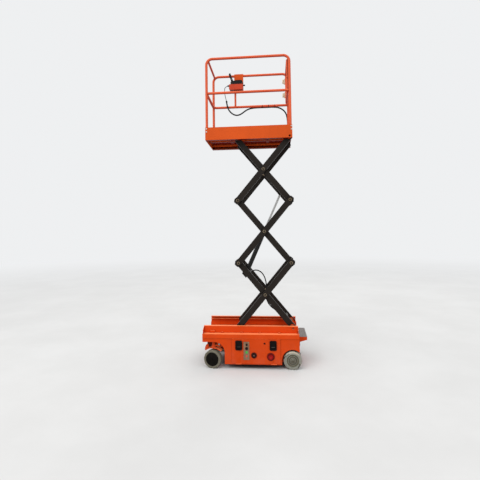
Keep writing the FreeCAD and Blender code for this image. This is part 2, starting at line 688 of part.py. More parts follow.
def arm_tube(side, top_tail):
    """One arm: a rectangular tube with cut corners, plugged ends, three pivot bores and drain holes."""
    half, cut_back = "arm_depth / 2", "arm_chamfer"
    foot, head = "-arm_tail", f"{LONG} + {top_tail}"
    outline = [
        (foot, f"-{half} + {cut_back}"), (f"{foot} + {cut_back}", f"-{half}"),
        (f"{head} - {cut_back}", f"-{half}"), (head, f"-{half} + {cut_back}"),
        (head, f"{half} - {cut_back}"), (f"{head} - {cut_back}", half),
        (f"{foot} + {cut_back}", half), (foot, f"{half} - {cut_back}"),
    ]
    bar = plate_of("side", outline, "arm_width", y=side)
    bores = []
    for along in ("0", f"{LONG} / 2", LONG):
        bores.append(rod("y", "pin_radius + pin_slack", along, f"{side} - arm_width", 0, "2 * arm_width"))
    for start, end in (("30", f"{LONG} / 2 - 30"), (f"{LONG} / 2 + 30", f"{LONG} - 30")):
        bores.append(box(start, end, f"{side} - arm_width / 2 + arm_wall", f"{side} + arm_width / 2 - arm_wall",
                         "-arm_depth / 2 + arm_wall", "arm_depth / 2 - arm_wall"))
        bores.append(rod("y", 6, f"{start} + 60", f"{side} - arm_width", 0, "arm_width"))
    return cut(bar, bores)


# Cross tubes of each inner pair along the arm, and the tails of the inner and outer arms' upper ends
STAGES = {
    1: (["low_cross"], "arm_tail", "arm_tail"),
    2: (["low_cross", "high_cross"], "arm_tail", "arm_tail"),
    3: (["high_cross"], "roller_tail", "lug_tail"),
}


def cross_tube(along, below):
    """A round tube between the two arms of an inner pair."""
    reach = "(inner_side - arm_width / 2)"
    return rod("y", "cross_radius", along, f"-{reach}", below, f"2 * {reach}")


def inner_arms():
    """Inner pairs, each with one or two cross tubes welded between its arms."""
    for stage, (crossings, tail, _) in STAGES.items():
        pieces = with_twins([arm_tube("inner_side", tail)])
        pieces += [cross_tube(along, 0) for along in crossings]
        node(f"inner_arms_{stage}", apart(pieces), inner_place(stage))


def outer_arms():
    """Outer pairs."""
    for stage, (_, _, tail) in STAGES.items():
        node(f"outer_arms_{stage}", apart(with_twins([arm_tube("outer_side", tail)])), outer_place(stage))


def cylinder_lugs():
    """Cross tubes with the pairs of plates that hold the lift cylinder's pins; the lower plates are
    tied together underneath and one of them holds a hose union."""
    pin, low = "barrel_pin_along", "barrel_pin_below"
    foot, base = f"{low} + 30", "barrel_cross"
    outline = [
        (f"{pin} - 42", foot), (f"{pin} - 42", f"{low} + 6"), (f"{pin} - 24", f"{low} - 8"),
        (f"{pin} - 8", f"{low} - 24"), (base, -34), (f"{base} + 26", -20), (f"{base} + 30", 6),
        (f"{base} + 12", 30), (f"{pin} + 38", foot),
    ]
    plates = [plate_of("side", outline, 8, y=y) for y in (-35, 35)]
    bracket = box(f"{pin} - 43", f"{pin} - 13", -39, -31, -26, 40)
    holes = [rod("y", "barrel_pin", pin, -60, low, 120), rod("y", "cross_radius", base, -60, 0, 120)]
    tie = box(f"{pin} - 42", f"{pin} + 38", -39, 39, foot, f"{foot} + 15")
    lugs = cut(joined(plates + [bracket]), holes)
    node("barrel_lugs", apart([lugs, tie, cross_tube(base, 0)]), inner_place(1))
    pin, low = "eye_pin_along", "eye_pin_below"
    outline = [
        (f"{pin} - 24", f"{low} + 8"), (f"{pin} - 24", f"{low} - 8"), ("rod_cross - 27", -22),
        ("rod_cross - 14", -45), ("rod_cross + 14", -45), ("rod_cross + 27", -22), ("rod_cross + 14", 8),
        (f"{pin} + 22", f"{low} + 12"), (f"{pin} + 8", f"{low} + 24"), (f"{pin} - 8", f"{low} + 24"),
    ]
    plates = joined([plate_of("side", outline, 8, y=y) for y in (-30, 30)])
    lugs = cut(plates, [rod("y", "cross_radius", "rod_cross", -60, "-rod_cross_above", 120)])
    node("rod_lugs", apart([lugs, cross_tube("rod_cross", "-rod_cross_above")]), inner_place(3))


# Pins fixed in each inner pair, along the arm
PIN_PLACES = {1: [f"{LONG} / 2", LONG], 2: ["0", f"{LONG} / 2", LONG], 3: ["0", f"{LONG} / 2"]}


def pin_at(along):
    """A pivot pin through an inner and an outer arm: collar, shaft, head and bolt."""
    inside, outside = "inner_side - arm_width / 2", "outer_side + arm_width / 2"
    return [
        rod("y", "pin_radius", along, f"{inside} - 8", 0, f"({outside}) - ({inside}) + 9"),
        rod("y", "collar", along, f"{inside} - 8", 0, 8),
        rod("y", "pin_head", along, f"{outside} + 0.3", 0, 5.7),
        rod("y", 8, along, f"{outside} + 6", 0, 5),
    ]


def pivot_pins():
    """Pins fixed in the inner arms, on which the outer arms turn."""
    for stage, places in PIN_PLACES.items():
        pieces = [piece for along in places for piece in pin_at(along)]
        node(f"pivot_pins_{stage}", both_sides(joined(pieces)), inner_place(stage))


def rollers():
    """Rollers at the sliding ends, with their shafts and collars."""
    face = "rail_inner + 2"
    # Name, place, along the arm, arm side, collar radius and thickness
    table = [
        ("base_rollers", outer_place(1), "0", "outer_side", 18, 4),
        ("top_rollers", inner_place(3), LONG, "inner_side", "collar", 8),
    ]
    for name, place, along, arm_side, collar_radius, collar_thick in table:
        start = f"{arm_side} - arm_width / 2 - {collar_thick}"
        pieces = [
            rod("y", "pin_radius", along, start, 0, f"{face} - ({start})"),
            rod("y", collar_radius, along, start, 0, collar_thick),
            rod("y", "roller_radius", along, face, 0, "roller_width"),
        ]
        node(name, both_sides(joined(pieces)), place)


def arm_point(stage, along, below):
    """Where a point of an inner pair lies in the upright plane."""
    return inner_place(stage).multVec(V(along, 0, below))


def lift_cylinder():
    """Lift cylinder from the first inner pair to the third; each half's own Z axis runs up the cylinder."""
    foot = arm_point(1, D["barrel_pin_along"], D["barrel_pin_below"])
    eye = arm_point(3, D["eye_pin_along"], D["eye_pin_below"])
    turn = FreeCAD.Rotation(Z_AXIS, eye - foot)
    barrel = [
        rod("z", "barrel_radius", 0, 0, 20, "barrel_length - 20"),
        rod("z", "barrel_radius + 3", 0, 0, "barrel_length - 30", 30),
        rod("y", "eye_radius", 0, -30, 0, 60),
        rod("y", "barrel_pin - 0.1", 0, -44, 0, 88),
        rod("x", 9, "barrel_radius - 6", 0, 60, 24),
    ]
    bore = rod("z", "rod_radius + pin_slack", 0, 0, 60, "barrel_length")
    node("cylinder_barrel", cut(joined(barrel), [bore]), FreeCAD.Placement(foot, turn))
    head = rod("y", "eye_radius", 0, -25.6, 0, 51.2)
    ram = rod("z", "rod_radius", 0, 0, "-rod_length - 4", "rod_length")
    node("cylinder_rod", joined([head, ram]), FreeCAD.Placement(eye, turn))


def hydraulic_hose():
    """Hose from a union by the barrel's foot to one on the near inner arm."""
    cord("hydraulic_hose", [V(*point) for point in HOSE], 12, inner_place(1))
    unions = [box(852, 872, -61, -39, -26, -8), box(184, 206, -174, -148, 5, 23)]
    node("hose_unions", joined(unions), inner_place(1))


# Platform

PLATFORM_PIVOT = "base_pivot + 3 * stage_rise"


def platform_frame():
    """Side channels with toe boards, end members, the floor's cross members and the upper pivot lugs."""
    top_in = f"{PLATFORM_PIVOT} + roller_room"
    low_in = f"{PLATFORM_PIVOT} - roller_room"
    front, back = "-deck_front + rail_sheet", "deck_back - rail_sheet"
    under, channel_bottom = "deck_floor - plate", f"{low_in} - rail_sheet"
    web, lip = "platform_side - rail_sheet", "rail_inner + rail_sheet"
    lug = [("pivot_x - 45", under), ("pivot_x - 26", f"{PLATFORM_PIVOT} - 10"),
           ("pivot_x - 12", f"{PLATFORM_PIVOT} - 26"), ("pivot_x + 12", f"{PLATFORM_PIVOT} - 26"),
           ("pivot_x + 26", f"{PLATFORM_PIVOT} - 10"), ("pivot_x + 42", under)]
    hanger = [
        box(front, "deck_back", "rail_inner", lip, f"{top_in} + rail_sheet", under),
        plate_of("side", lug, 5, y=f"{lip} - 2.5"),
    ]
    window = rod("y", 14, "pivot_x + 7", "platform_side - 10", f"{PLATFORM_PIVOT} + 5", 20)
    side = [
        cut(box("-deck_front", "deck_back", web, "platform_side", channel_bottom, "toe_top"), [window]),
        box(front, "deck_back", lip, web, channel_bottom, low_in),
        box(front, "deck_back", lip, web, top_in, f"{top_in} + rail_sheet"),
        cut(joined(hanger), [rod("y", "pin_radius", "pivot_x", "outer_side", PLATFORM_PIVOT, 40)]),
    ]
    for x in (-250, 250):
        side.append(box(x - 20, x + 20, 20, 165, "deck_floor - 25", under))
    middle = [
        box("-deck_front", front, f"-({web})", web, channel_bottom, "toe_top"),
        box(back, "deck_back", f"-({web})", web, f"{top_in} + rail_sheet + 16", "deck_floor"),
        box(front, back, -20, 20, "deck_floor - 35", under),
    ]
    node("platform_frame", apart(middle + with_twins(side)))
    node("platform_deck", box(front, back, f"-({web})", web, under, "deck_floor"))
    start = "outer_side - arm_width / 2 - 8"
    pin = rod("y", "pin_radius", "pivot_x", start, PLATFORM_PIVOT, "arm_width + 19")
    head = rod("y", "pin_head", "pivot_x", start, PLATFORM_PIVOT, 5)
    node("platform_pins", both_sides(joined([pin, head])))


def guardrails():
    """Side guardrails of bent tube with mid rails; the far one carries an upright for the control box.
    At the front a bar joins their bends and a bent tube carries the far mid rail round the corner."""
    post, low_end = "post_side", "top_rail - rail_bend"
    long = "post_front + post_back"

    def post_at(x, side):
        return rod("z", "tube", x, f"{side} * {post}", "post_foot", f"{low_end} - post_foot")

    def front_bend(side):
        return bend("-post_front + rail_bend", f"{side} * {post}", low_end, -X_AXIS, Z_AXIS, "rail_bend", "tube")

    hoop = [
        post_at("-post_front", 1),
        post_at("post_back", 1),
        front_bend(1),
        bend("post_back - rail_bend", post, low_end, X_AXIS, Z_AXIS, "rail_bend", "tube"),
        rod("x", "tube", "-post_front + rail_bend", post, "top_rail", f"{long} - 2 * rail_bend"),
    ]
    mid = rod("x", "tube", "-post_front", post, "mid_rail", long)
    node("guardrail_near", mirrored(joined(hoop + [mid])))
    short_mid = rod("x", "tube", "-post_front + corner_bend", post, "mid_rail", f"{long} - corner_bend")
    upright = rod("z", "slim_tube", "-upright", post, "mid_rail", "top_rail - mid_rail")
    node("guardrail_far", joined(hoop + [short_mid, upright]))
    at_bend = "rail_bend * (1 - sqrt(0.5))"
    bar = rod("y", "slim_tube", f"-post_front + {at_bend}", f"-{post}", f"top_rail - {at_bend}", f"2 * {post}")
    turned_mid = [
        bend("-post_front + corner_bend", f"{post} - corner_bend", "mid_rail", -X_AXIS, Y_AXIS, "corner_bend", "tube"),
        rod("y", "tube", "-post_front", f"-{post}", "mid_rail", f"2 * {post} - corner_bend"),
    ]
    node("guardrail_front", apart([
        cut(bar, [front_bend(-1), front_bend(1)]),
        cut(joined(turned_mid), [
            post_at("-post_front", -1), post_at("-post_front", 1),
            rod("x", "tube", "-post_front", f"-{post}", "mid_rail", 60),
        ]),
    ]))


def gate():
    """Entry gate hung inside the rear posts: a bent tube frame, its hinges and their plates on the far post."""
    x, hinge, low, high = "gate_plane", "hinge_plane", "mid_rail", "gate_top"
    turn, bar, axis = "gate_bend", "slim_tube", "gate_pivot"
    near, far = "-gate_latch", "gate_side"
    tall = f"{high} - {low} - 2 * {turn}"
    wide = f"{far} - ({near}) - 2 * {turn}"
    pieces = []
    for y in (near, far):
        pieces.append(rod("z", bar, x, y, f"{low} + {turn}", tall))
    for z in (low, high):
        pieces.append(rod("y", bar, x, f"{near} + {turn}", z, wide))
    for y, outward in ((f"{near} + {turn}", -Y_AXIS), (f"{far} - {turn}", Y_AXIS)):
        pieces.append(bend(x, y, f"{high} - {turn}", outward, Z_AXIS, turn, bar))
        pieces.append(bend(x, y, f"{low} + {turn}", outward, -Z_AXIS, turn, bar))
    leaves = []
    for z in (3698, 3901):
        for lug in (z - 42, z + 32):
            pieces.append(box(f"{hinge} - 5", f"{hinge} + 5", far, axis, lug, lug + 10))
            pieces.append(rod("z", "hinge_barrel", hinge, axis, lug, 10))
        pieces.append(rod("z", "hinge_pin", hinge, axis, z - 40, 80))
        leaf = [
            rod("z", "hinge_barrel", hinge, axis, z - 31, 62),
            box(f"{hinge} - 4", f"{hinge} + 4", axis, "post_side", z - 25, z + 25),
            box(f"{hinge} - 21", "post_back", f"{axis} + 12", f"{axis} + 16", z - 41, z + 41),
        ]
        holes = [
            rod("z", "hinge_pin + pin_slack", hinge, axis, z - 40, 80),
            rod("z", "tube", "post_back", "post_side", z - 50, 100),
        ]
        leaves.append(cut(joined(leaf), holes))
    node("gate", joined(pieces))
    node("gate_hinges", apart(leaves))


def upper_controls():
    """Control box on a bracket that hooks over the far top rail, with a V mount under it."""
    side, rail = "bracket_side", "top_rail + tube"
    body = [
        ("-box_front", "box_bottom + 19"), ("-box_front + 12", "box_bottom"), ("-box_rear - 12", "box_bottom"),
        ("-box_rear", "box_bottom + 19"), ("-box_rear", "box_top"), ("-box_front", "box_top"),
    ]
    mount = [(-236, "box_bottom"), (-172, "box_bottom"), (-194, "box_bottom - 30"), (-214, "box_bottom - 30")]
    node("control_box", joined([
        plate_of("side", body, "box_deep", y="box_side"),
        plate_of("side", mount, 30, y="bracket_side - 15"),
    ]))
    hook = [
        (side, "box_bottom - 30"), (f"{side} + 4", "box_bottom - 30"), (f"{side} + 4", rail),
        (f"{side} + 40", rail), (f"{side} + 40", "top_rail - 10"), (f"{side} + 44", "top_rail - 10"),
        (f"{side} + 44", f"{rail} + 4"), (side, f"{rail} + 4"),
    ]
    node("control_bracket", plate_of("end", hook, 132, x=-161))


def control_head():
    """Black housing on the control box, the joystick with its open grip, a connector and a cable gland."""
    housing = [
        (-279, "box_top"), (-106, "box_top"), (-106, "box_top + 44"), (-118, "box_top + 60"),
        (-205, "box_top + 60"), (-222, "box_top + 52"), (-262, "box_top + 52"), (-279, "box_top + 34"),
    ]
    grip = [(-238, 3918), (-268, 3918), (-304, 4016), (-302, 4034), (-290, 4042), (-278, 4036)]
    slot = [(-259, 3946), (-268, 3946), (-290, 4008), (-282, 4012)]
    node("control_head", joined([
        plate_of("side", housing, 54, y="box_side"),
        cut(plate_of("side", grip, 24, y="box_side"), [plate_of("side", slot, 40, y="box_side")]),
        rod("x", 10, "-box_rear", "box_side", 3856, 30),
        rod("x", 8, "-box_front - 15", "box_side", 3851, 15),
    ]))


def control_cables():
    """Thin cable from the control box into a conduit, which runs outside the far mid rail and down
    behind the rear post into a gland on the toe board, with its ties."""
    cord("box_cable", [V(*point) for point in BOX_CABLE], 9)
    route = [V(*point) for point in RAIL_CABLE]
    cord("rail_cable", route, 20)
    rail = (D["post_side"], D["mid_rail"])
    ties = []
    for run in CABLE_TIES:
        middle = (route[run] + route[run + 1]) * 0.5
        along = middle.x - 3
        across = V(0, middle.y - rail[0], middle.z - rail[1]).cross(X_AXIS).normalize()
        strap = []
        for (y, z), half in ((rail, 18), ((middle.y, middle.z), 11)):
            strap += [(y + across.y * half, z + across.z * half), (y - across.y * half, z - across.z * half)]
        strap[2:] = strap[:1:-1]
        band = [rod("x", "tube + 1.5", along, *rail, 6), rod("x", 11.5, along, middle.y, middle.z, 6),
                plate_of("end", strap, 6, x=middle.x)]
        room = [rod("x", "tube", along - 1, *rail, 8), rod("x", 10.3, along - 1, middle.y, middle.z, 8)]
        ties.append(cut(joined(band), room))
    foot = route[-1]
    post = ("post_back", "post_side")
    band = [rod("z", "tube + 1.5", *post, POST_TIE, 6), rod("z", 12.5, foot.x, foot.y, POST_TIE, 6),
            box(foot.x - 8, foot.x + 10, "post_side", foot.y, POST_TIE, POST_TIE + 6)]
    room = [rod("z", "tube", *post, POST_TIE - 1, 8), rod("z", 11.2, foot.x, foot.y, POST_TIE - 1, 8)]
    ties.append(cut(joined(band), room))
    gland = [rod("z", 12, foot.x, foot.y, foot.z - 24, 24),
             box(foot.x - 12, foot.x + 12, "platform_side", foot.y, foot.z - 20, foot.z - 4)]
    ties.append(joined(gland))
    node("cable_ties", apart(ties))


BUILDERS = [
    side_panels, underframe, deck_tray, roller_rails, base_pivots, rear_step, rear_axle, power_packs,
    doors, ground_controls, wheels, knuckles, tie_rod, inner_arms, outer_arms, cylinder_lugs, pivot_pins,
    rollers, lift_cylinder, hydraulic_hose, platform_frame, guardrails, gate, upper_controls, control_head,
    control_cables,
]
for build in BUILDERS:
    build()
doc.recompute()

for item in doc.Objects:
    if "Invalid" in item.State or "Error" in item.State:
        raise RuntimeError(f"{item.Name} ({item.Label}) failed: {item.State}")
for name, piece in NODES.items():
    if piece.Shape.isNull() or not piece.Shape.isValid() or piece.Shape.Volume <= 0:
        raise RuntimeError(f"{name} has no valid shape")

os.makedirs("parts", exist_ok=True)
for name, piece in NODES.items():
    piece.Shape.exportStep(f"parts/{name}.step")
print(len(NODES), "pieces written")
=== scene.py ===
import math

import bmesh
import bpy
from bpy.props import FloatProperty, FloatVectorProperty, IntProperty, PointerProperty
from mathutils import Matrix, Vector


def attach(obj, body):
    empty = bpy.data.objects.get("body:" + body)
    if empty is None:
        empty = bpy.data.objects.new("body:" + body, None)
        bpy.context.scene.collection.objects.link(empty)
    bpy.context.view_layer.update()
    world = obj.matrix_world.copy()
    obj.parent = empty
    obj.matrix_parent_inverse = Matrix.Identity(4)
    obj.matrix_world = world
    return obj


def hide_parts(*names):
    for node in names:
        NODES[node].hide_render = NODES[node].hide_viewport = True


bl_info = {
    "name": "Scissor lift dressing",
    "version": (1, 0, 0),
    "blender": (4, 5, 0),
    "location": "View3D > Sidebar > Scissor Lift",
    "description": "Stage, cords, small fittings and finishes for a compact scissor lift",
    "category": "Object",
}

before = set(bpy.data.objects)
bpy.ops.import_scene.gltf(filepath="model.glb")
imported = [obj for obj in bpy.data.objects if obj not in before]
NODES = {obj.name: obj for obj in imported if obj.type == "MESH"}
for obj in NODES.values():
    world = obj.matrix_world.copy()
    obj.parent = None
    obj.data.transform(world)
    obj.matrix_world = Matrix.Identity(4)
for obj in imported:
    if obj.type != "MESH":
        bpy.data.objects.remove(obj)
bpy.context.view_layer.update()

# Chassis middle in the part's frame, and the main places of the machine, in metres
MIDDLE = -0.0525
PIVOT_X, BASE_PIVOT = MIDDLE + 0.533, 0.494
STAGE_RISE, ARM_SPAN = 0.817, 0.6832
ARM_LENGTH = math.hypot(STAGE_RISE, ARM_SPAN)
ARM_ANGLE = math.atan2(STAGE_RISE, ARM_SPAN)
PIN_END = 0.261
STEER_REST = math.radians(12)
WHEEL_OUT, AXLE_HEIGHT = 0.030, 0.112
REAR_WHEEL = Vector((MIDDLE + 0.523, 0.338, AXLE_HEIGHT))
KINGPIN = Vector((MIDDLE - 0.475, 0.31, 0))
TOE_BOARD, POST_SIDE, BOX_SIDE, RAIL_INSIDE = 0.32, 0.3, 0.246, 0.26
FRONT_POST, REAR_POST = -0.542, 0.553
DECK, MID_RAIL, TOP_RAIL = 3.0, 3.554, 4.018
LATCHES, GATE_HINGES = (-0.148, 0.283), (3.698, 3.901)
GATE_BOLT = 3.745
END_WALL, STEP_TOP = 0.611, 0.37

SIDES = (-1, 1)
EVERYWHERE = (1, 1, 1)

# Colours
DUST = (0.33, 0.27, 0.21)
RUST = (0.16, 0.06, 0.025)
SCUFF = (0.05, 0.045, 0.035)
STEEL_GREY = (0.2, 0.19, 0.17)
SUNLIT = (0.93, 0.25, 0.09)
HAZE = (0.86, 0.87, 0.88, 1)

# The camera that was fitted to the photograph
CAMERA_PLACE = (0.2674, -5.2146, 1.7199)
CAMERA_YAW, CAMERA_PITCH, CAMERA_ROLL = (math.radians(angle) for angle in (5.16, 2.7, -0.74))
LENS, SENSOR, SHIFT_X, SHIFT_Y = 28.563, 36, 0.001, -0.0548

# Body, material and slot of small pieces that come in numbers
CAGE_BLACK = ("platform", "black plastic", "black_plastic")
CAGE_RAIL = ("platform", "rail paint", "orange_paint")
ARM_STEEL = ("inner_1", "bright steel", "steel")


# Working helpers


def deselect():
    """Leaves edit mode and selects nothing."""
    if bpy.context.mode != "OBJECT":
        bpy.ops.object.mode_set(mode="OBJECT")
    bpy.ops.object.select_all(action="DESELECT")


def added(operator, **sizes):
    """Adds a primitive with nothing else selected."""
    deselect()
    operator(**sizes)
    return bpy.context.active_object


def select_only(*objects):
    """Selects some objects and makes the first of them active."""
    deselect()
    for item in objects:
        item.select_set(True)
    bpy.context.view_layer.objects.active = objects[0]


def every(element):
    """Passes every face and edge."""
    return True


def upward(face):
    """Passes faces that look up."""
    return face.normal.z > 0.9


def pick(piece, test, kind="FACE"):
    """Opens a piece for editing with only the faces or edges selected that pass a test."""
    select_only(piece)
    bpy.ops.object.mode_set(mode="EDIT")
    bpy.ops.mesh.select_mode(type=kind)
    bpy.ops.mesh.select_all(action="DESELECT")
    mesh = bmesh.from_edit_mesh(piece.data)
    for element in mesh.faces if kind == "FACE" else mesh.edges:
        element.select_set(test(element))
    bmesh.update_edit_mesh(piece.data)


def reworked(piece, test, operator, kind="FACE", **sizes):
    """Runs a mesh operator on the faces or edges that pass a test."""
    pick(piece, test, kind)
    operator(**sizes)
    deselect()
    return piece


def settled(piece):
    """Puts a piece's place, turn and size into its mesh and its object at the origin."""
    select_only(piece)
    bpy.ops.object.transform_apply(location=True, rotation=True, scale=True)
    return piece


def outward(piece, angle=30):
    """Merges doubles, turns every face outwards and smooths the shading below an angle."""
    pick(piece, every)
    bpy.ops.mesh.remove_doubles(threshold=1e-6)
    bpy.ops.mesh.normals_make_consistent(inside=False)
    select_only(piece)
    bpy.ops.object.shade_smooth_by_angle(angle=math.radians(angle))
    return piece


def merged(name, pieces):
    """Joins pieces into one named object."""
    select_only(*pieces)
    if len(pieces) > 1:
        bpy.ops.object.join()
    piece = bpy.context.active_object
    piece.name = name
    piece.data.name = name
    return settled(piece)


def fitted(name, pattern, places, body, material, slot):
    """Copies a pattern to places as one piece and gives it its material and the body that it moves with."""
    copies = []
    for place in places:
        twin = pattern.copy()
        twin.data = pattern.data.copy()
        twin.data.transform(place)
        bpy.context.scene.collection.objects.link(twin)
        copies.append(twin)
    bpy.data.objects.remove(pattern)
    piece = outward(merged(name, copies))
    dressed(piece, material)
    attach(piece, body)


def dressed(piece, material):
    """Gives a piece one material."""
    piece.data.materials.clear()
    piece.data.materials.append(bpy.data.materials[material])


def facing(direction, point):
    """A place whose own Z axis points in a direction."""
    return Matrix.Translation(point) @ Vector(direction).to_track_quat("Z", "Y").to_matrix().to_4x4()


def on_chassis(x, y, z):
    """A point given from the middle of the chassis."""
    return Vector((x + MIDDLE, y, z))


def beside(side, x, out, z):
    """A place on the near (-1) or far (1) side that faces out of the machine."""
    return facing((0, side, 0), on_chassis(x, side * out, z))


def at_end(end, y, z, out=END_WALL):
    """A place on the rear (1) or front (-1) end that faces out of the machine."""
    return facing((end, 0, 0), on_chassis(end * out, y, z))


def inner_frame(stage):
    """The frame of an inner pair: its own X axis runs from its lower right pivot up the arm."""
    foot = Matrix.Translation((PIVOT_X, 0, BASE_PIVOT + (stage - 1) * STAGE_RISE))
    return foot @ Matrix.Rotation(math.pi + ARM_ANGLE, 4, "Y")


def steered(side):
    """The frame of a front wheel's kingpin as the wheels stand."""
    foot = Matrix.Translation((KINGPIN.x, side * KINGPIN.y, 0))
    return foot @ Matrix.Rotation(-STEER_REST, 4, "Z")


def wheels():
    """Each wheel's body, with the frame at its middle whose own Z axis points out of the machine."""
    places = {}
    for label, side in (("near", -1), ("far", 1)):
        hub = facing((0, side, 0), (0, side * WHEEL_OUT, AXLE_HEIGHT))
        places[f"wheel_front_{label}"] = steered(side) @ hub
        middle = (REAR_WHEEL.x, side * REAR_WHEEL.y, REAR_WHEEL.z)
        places[f"wheel_rear_{label}"] = facing((0, side, 0), middle)
    return places


# Shader nodes


class Nodes:
    """Adds nodes to one shader tree and hands on what they put out."""

    def __init__(self, tree):
        self.tree = tree

    def feed(self, node, **inputs):
        """Sets a node's inputs to values or to the sockets that feed them; iN stands for input N."""
        for key, value in inputs.items():
            by_number = key[0] == "i" and key[1:].isdigit()
            socket = node.inputs[int(key[1:])] if by_number else node.inputs[key.replace("_", " ")]
            if isinstance(value, bpy.types.NodeSocket):
                self.tree.links.new(value, socket)
            else:
                socket.default_value = value

    def put(self, kind, options=None, **inputs):
        """Adds a node and gives its outputs."""
        node = self.tree.nodes.new(kind)
        for key, value in (options or {}).items():
            setattr(node, key, value)
        self.feed(node, **inputs)
        return node.outputs

    def group(self, name, **inputs):
        """Places a shader group and gives its outputs."""
        return self.put("ShaderNodeGroup", {"node_tree": bpy.data.node_groups[name]}, **inputs)

    def reckon(self, operation, first, second=0.0, clamp=False):
        """A value worked out from one or two others."""
        options = {"operation": operation, "use_clamp": clamp}
        return self.put("ShaderNodeMath", options, i0=first, i1=second)[0]

    def plus(self, first, second, clamp=False):
        """The sum of two values."""
        return self.reckon("ADD", first, second, clamp)

    def minus(self, first, second, clamp=False):
        """The first value less the second."""
        return self.reckon("SUBTRACT", first, second, clamp)

    def times(self, first, second, clamp=False):
        """The product of two values."""
        return self.reckon("MULTIPLY", first, second, clamp)

    def from_vectors(self, operation, first, second=(0, 0, 0)):
        """A value worked out from one or two vectors."""
        return self.put("ShaderNodeVectorMath", {"operation": operation}, i0=first, i1=second)["Value"]

    def split(self, vector):
        """A vector's X, Y and Z."""
        return self.put("ShaderNodeSeparateXYZ", i0=vector)

    def eased(self, value, low, high, start=0.0, end=1.0):
        """A value spread smoothly from one range to another."""
        options = {"interpolation_type": "SMOOTHSTEP"}
        return self.put("ShaderNodeMapRange", options, Value=value, i1=low, i2=high, i3=start, i4=end)[0]

    def blended(self, factor, first, second):
        """Two colours mixed by a factor; each is a socket, or red, green and blue."""
        ends = [end if isinstance(end, bpy.types.NodeSocket) else (*end, 1.0) for end in (first, second)]
        return self.put("ShaderNodeMix", {"data_type": "RGBA"}, i0=factor, i6=ends[0], i7=ends[1])[2]

    def place(self, stretch=EVERYWHERE):
        """Object coordinates, stretched along the axes."""
        source = self.put("ShaderNodeTexCoord")["Object"]
        return self.put("ShaderNodeMapping", Vector=source, Scale=stretch)[0]

    def normal(self):
        """The surface's normal."""
        return self.put("ShaderNodeNewGeometry")["Normal"]

    def noise(self, scale, detail=4.0, roughness=0.55, stretch=EVERYWHERE):
        """A fine cloudy value from 0 to 1."""
        place = self.place(stretch)
        return self.put("ShaderNodeTexNoise", Vector=place, Scale=scale, Detail=detail, Roughness=roughness)[0]

    def clouds(self, scale, detail=5.0, low=0.35):
        """Clear clouds from 0 to 1."""
        return self.eased(self.noise(scale, detail, 0.6), low, 0.7)

    def bumped(self, height, strength, depth, **normal):
        """A normal raised by a height."""
        return self.put("ShaderNodeBump", Height=height, Strength=strength, Distance=depth, **normal)[0]


# Shader groups


def new_group(name, inputs, outputs):
    """An empty shader group: its nodes, what it is given, and the node that takes its results."""
    tree = bpy.data.node_groups.new(name, "ShaderNodeTree")
    for label, value in inputs.items():
        socket = tree.interface.new_socket(label, in_out="INPUT", socket_type="NodeSocketFloat")
        socket.default_value = value
    for label, kind in outputs.items():
        tree.interface.new_socket(label, in_out="OUTPUT", socket_type=f"NodeSocket{kind}")
    return Nodes(tree), tree.nodes.new("NodeGroupInput").outputs, tree.nodes.new("NodeGroupOutput")


def build_worn_edges():
    """Soft edges, and a broken mask along them where a finish has rubbed off."""
    nodes, given, result = new_group(
        "worn edges", {"Radius": 0.002, "Amount": 0.5, "Breakup": 40.0}, {"Mask": "Float", "Normal": "Vector"}
    )
    soft = nodes.put("ShaderNodeBevel", {"samples": 4}, Radius=given["Radius"])[0]
    edge = nodes.eased(nodes.minus(1.0, nodes.from_vectors("DOT_PRODUCT", soft, nodes.normal())), 0.02, 0.3)
    limit = nodes.minus(0.72, nodes.times(given["Amount"], 0.3))
    broken = nodes.eased(nodes.noise(given["Breakup"], 6.0, 0.6), limit, nodes.plus(limit, 0.06))
    nodes.feed(result, Mask=nodes.times(edge, broken), Normal=soft)


def build_road_grime():
    """Dust that thins out with height, in clouds and in streaks that run down."""
    nodes, given, result = new_group(
        "road grime", {"Clean height": 0.5, "Amount": 0.5, "Scale": 8.0}, {"Mask": "Float"}
    )
    low = nodes.eased(nodes.split(nodes.place())["Z"], 0.0, given["Clean height"], 1.0, 0.0)
    patches = nodes.eased(nodes.noise(given["Scale"], 8.0, 0.65), 0.35, 0.75)
    streaks = nodes.eased(nodes.noise(nodes.times(given["Scale"], 4.0), stretch=(1, 1, 0.06)), 0.45, 0.7)
    both = nodes.plus(nodes.times(patches, 0.7), nodes.times(streaks, 0.35))
    spread = nodes.plus(nodes.times(low, 0.8), 0.12)
    nodes.feed(result, Mask=nodes.times(both, nodes.times(spread, given["Amount"]), clamp=True))


def build_paint_skin():
    """Slow changes of tone and the fine ripple of sprayed paint."""
    nodes, given, result = new_group("paint skin", {"Ripple": 260.0}, {"Tone": "Float", "Height": "Float"})
    nodes.feed(result, Tone=nodes.clouds(2.3, low=0.3), Height=nodes.noise(given["Ripple"], 2.0, 0.5))


def build_scratches():
    """Short fine scratches in two directions."""
    nodes, given, result = new_group("scratches", {"Scale": 30.0, "Amount": 0.5}, {"Mask": "Float"})
    lines = [nodes.noise(given["Scale"], 2.0, 0.4, stretch) for stretch in ((0.08, 1, 1), (1, 1, 0.08))]
    limit = nodes.minus(0.82, nodes.times(given["Amount"], 0.14))
    mask = nodes.eased(nodes.reckon("MAXIMUM", *lines), limit, nodes.plus(limit, 0.03))
    nodes.feed(result, Mask=mask)


def build_grain():
    """The fine moulded grain of plastic and rubber."""
    nodes, given, result = new_group("moulded grain", {"Scale": 900.0}, {"Height": "Float", "Tone": "Float"})
    cells = nodes.put("ShaderNodeTexVoronoi", Vector=nodes.place(), Scale=given["Scale"])["Distance"]
    nodes.feed(result, Height=cells, Tone=nodes.clouds(14.0, 6.0))


# Materials


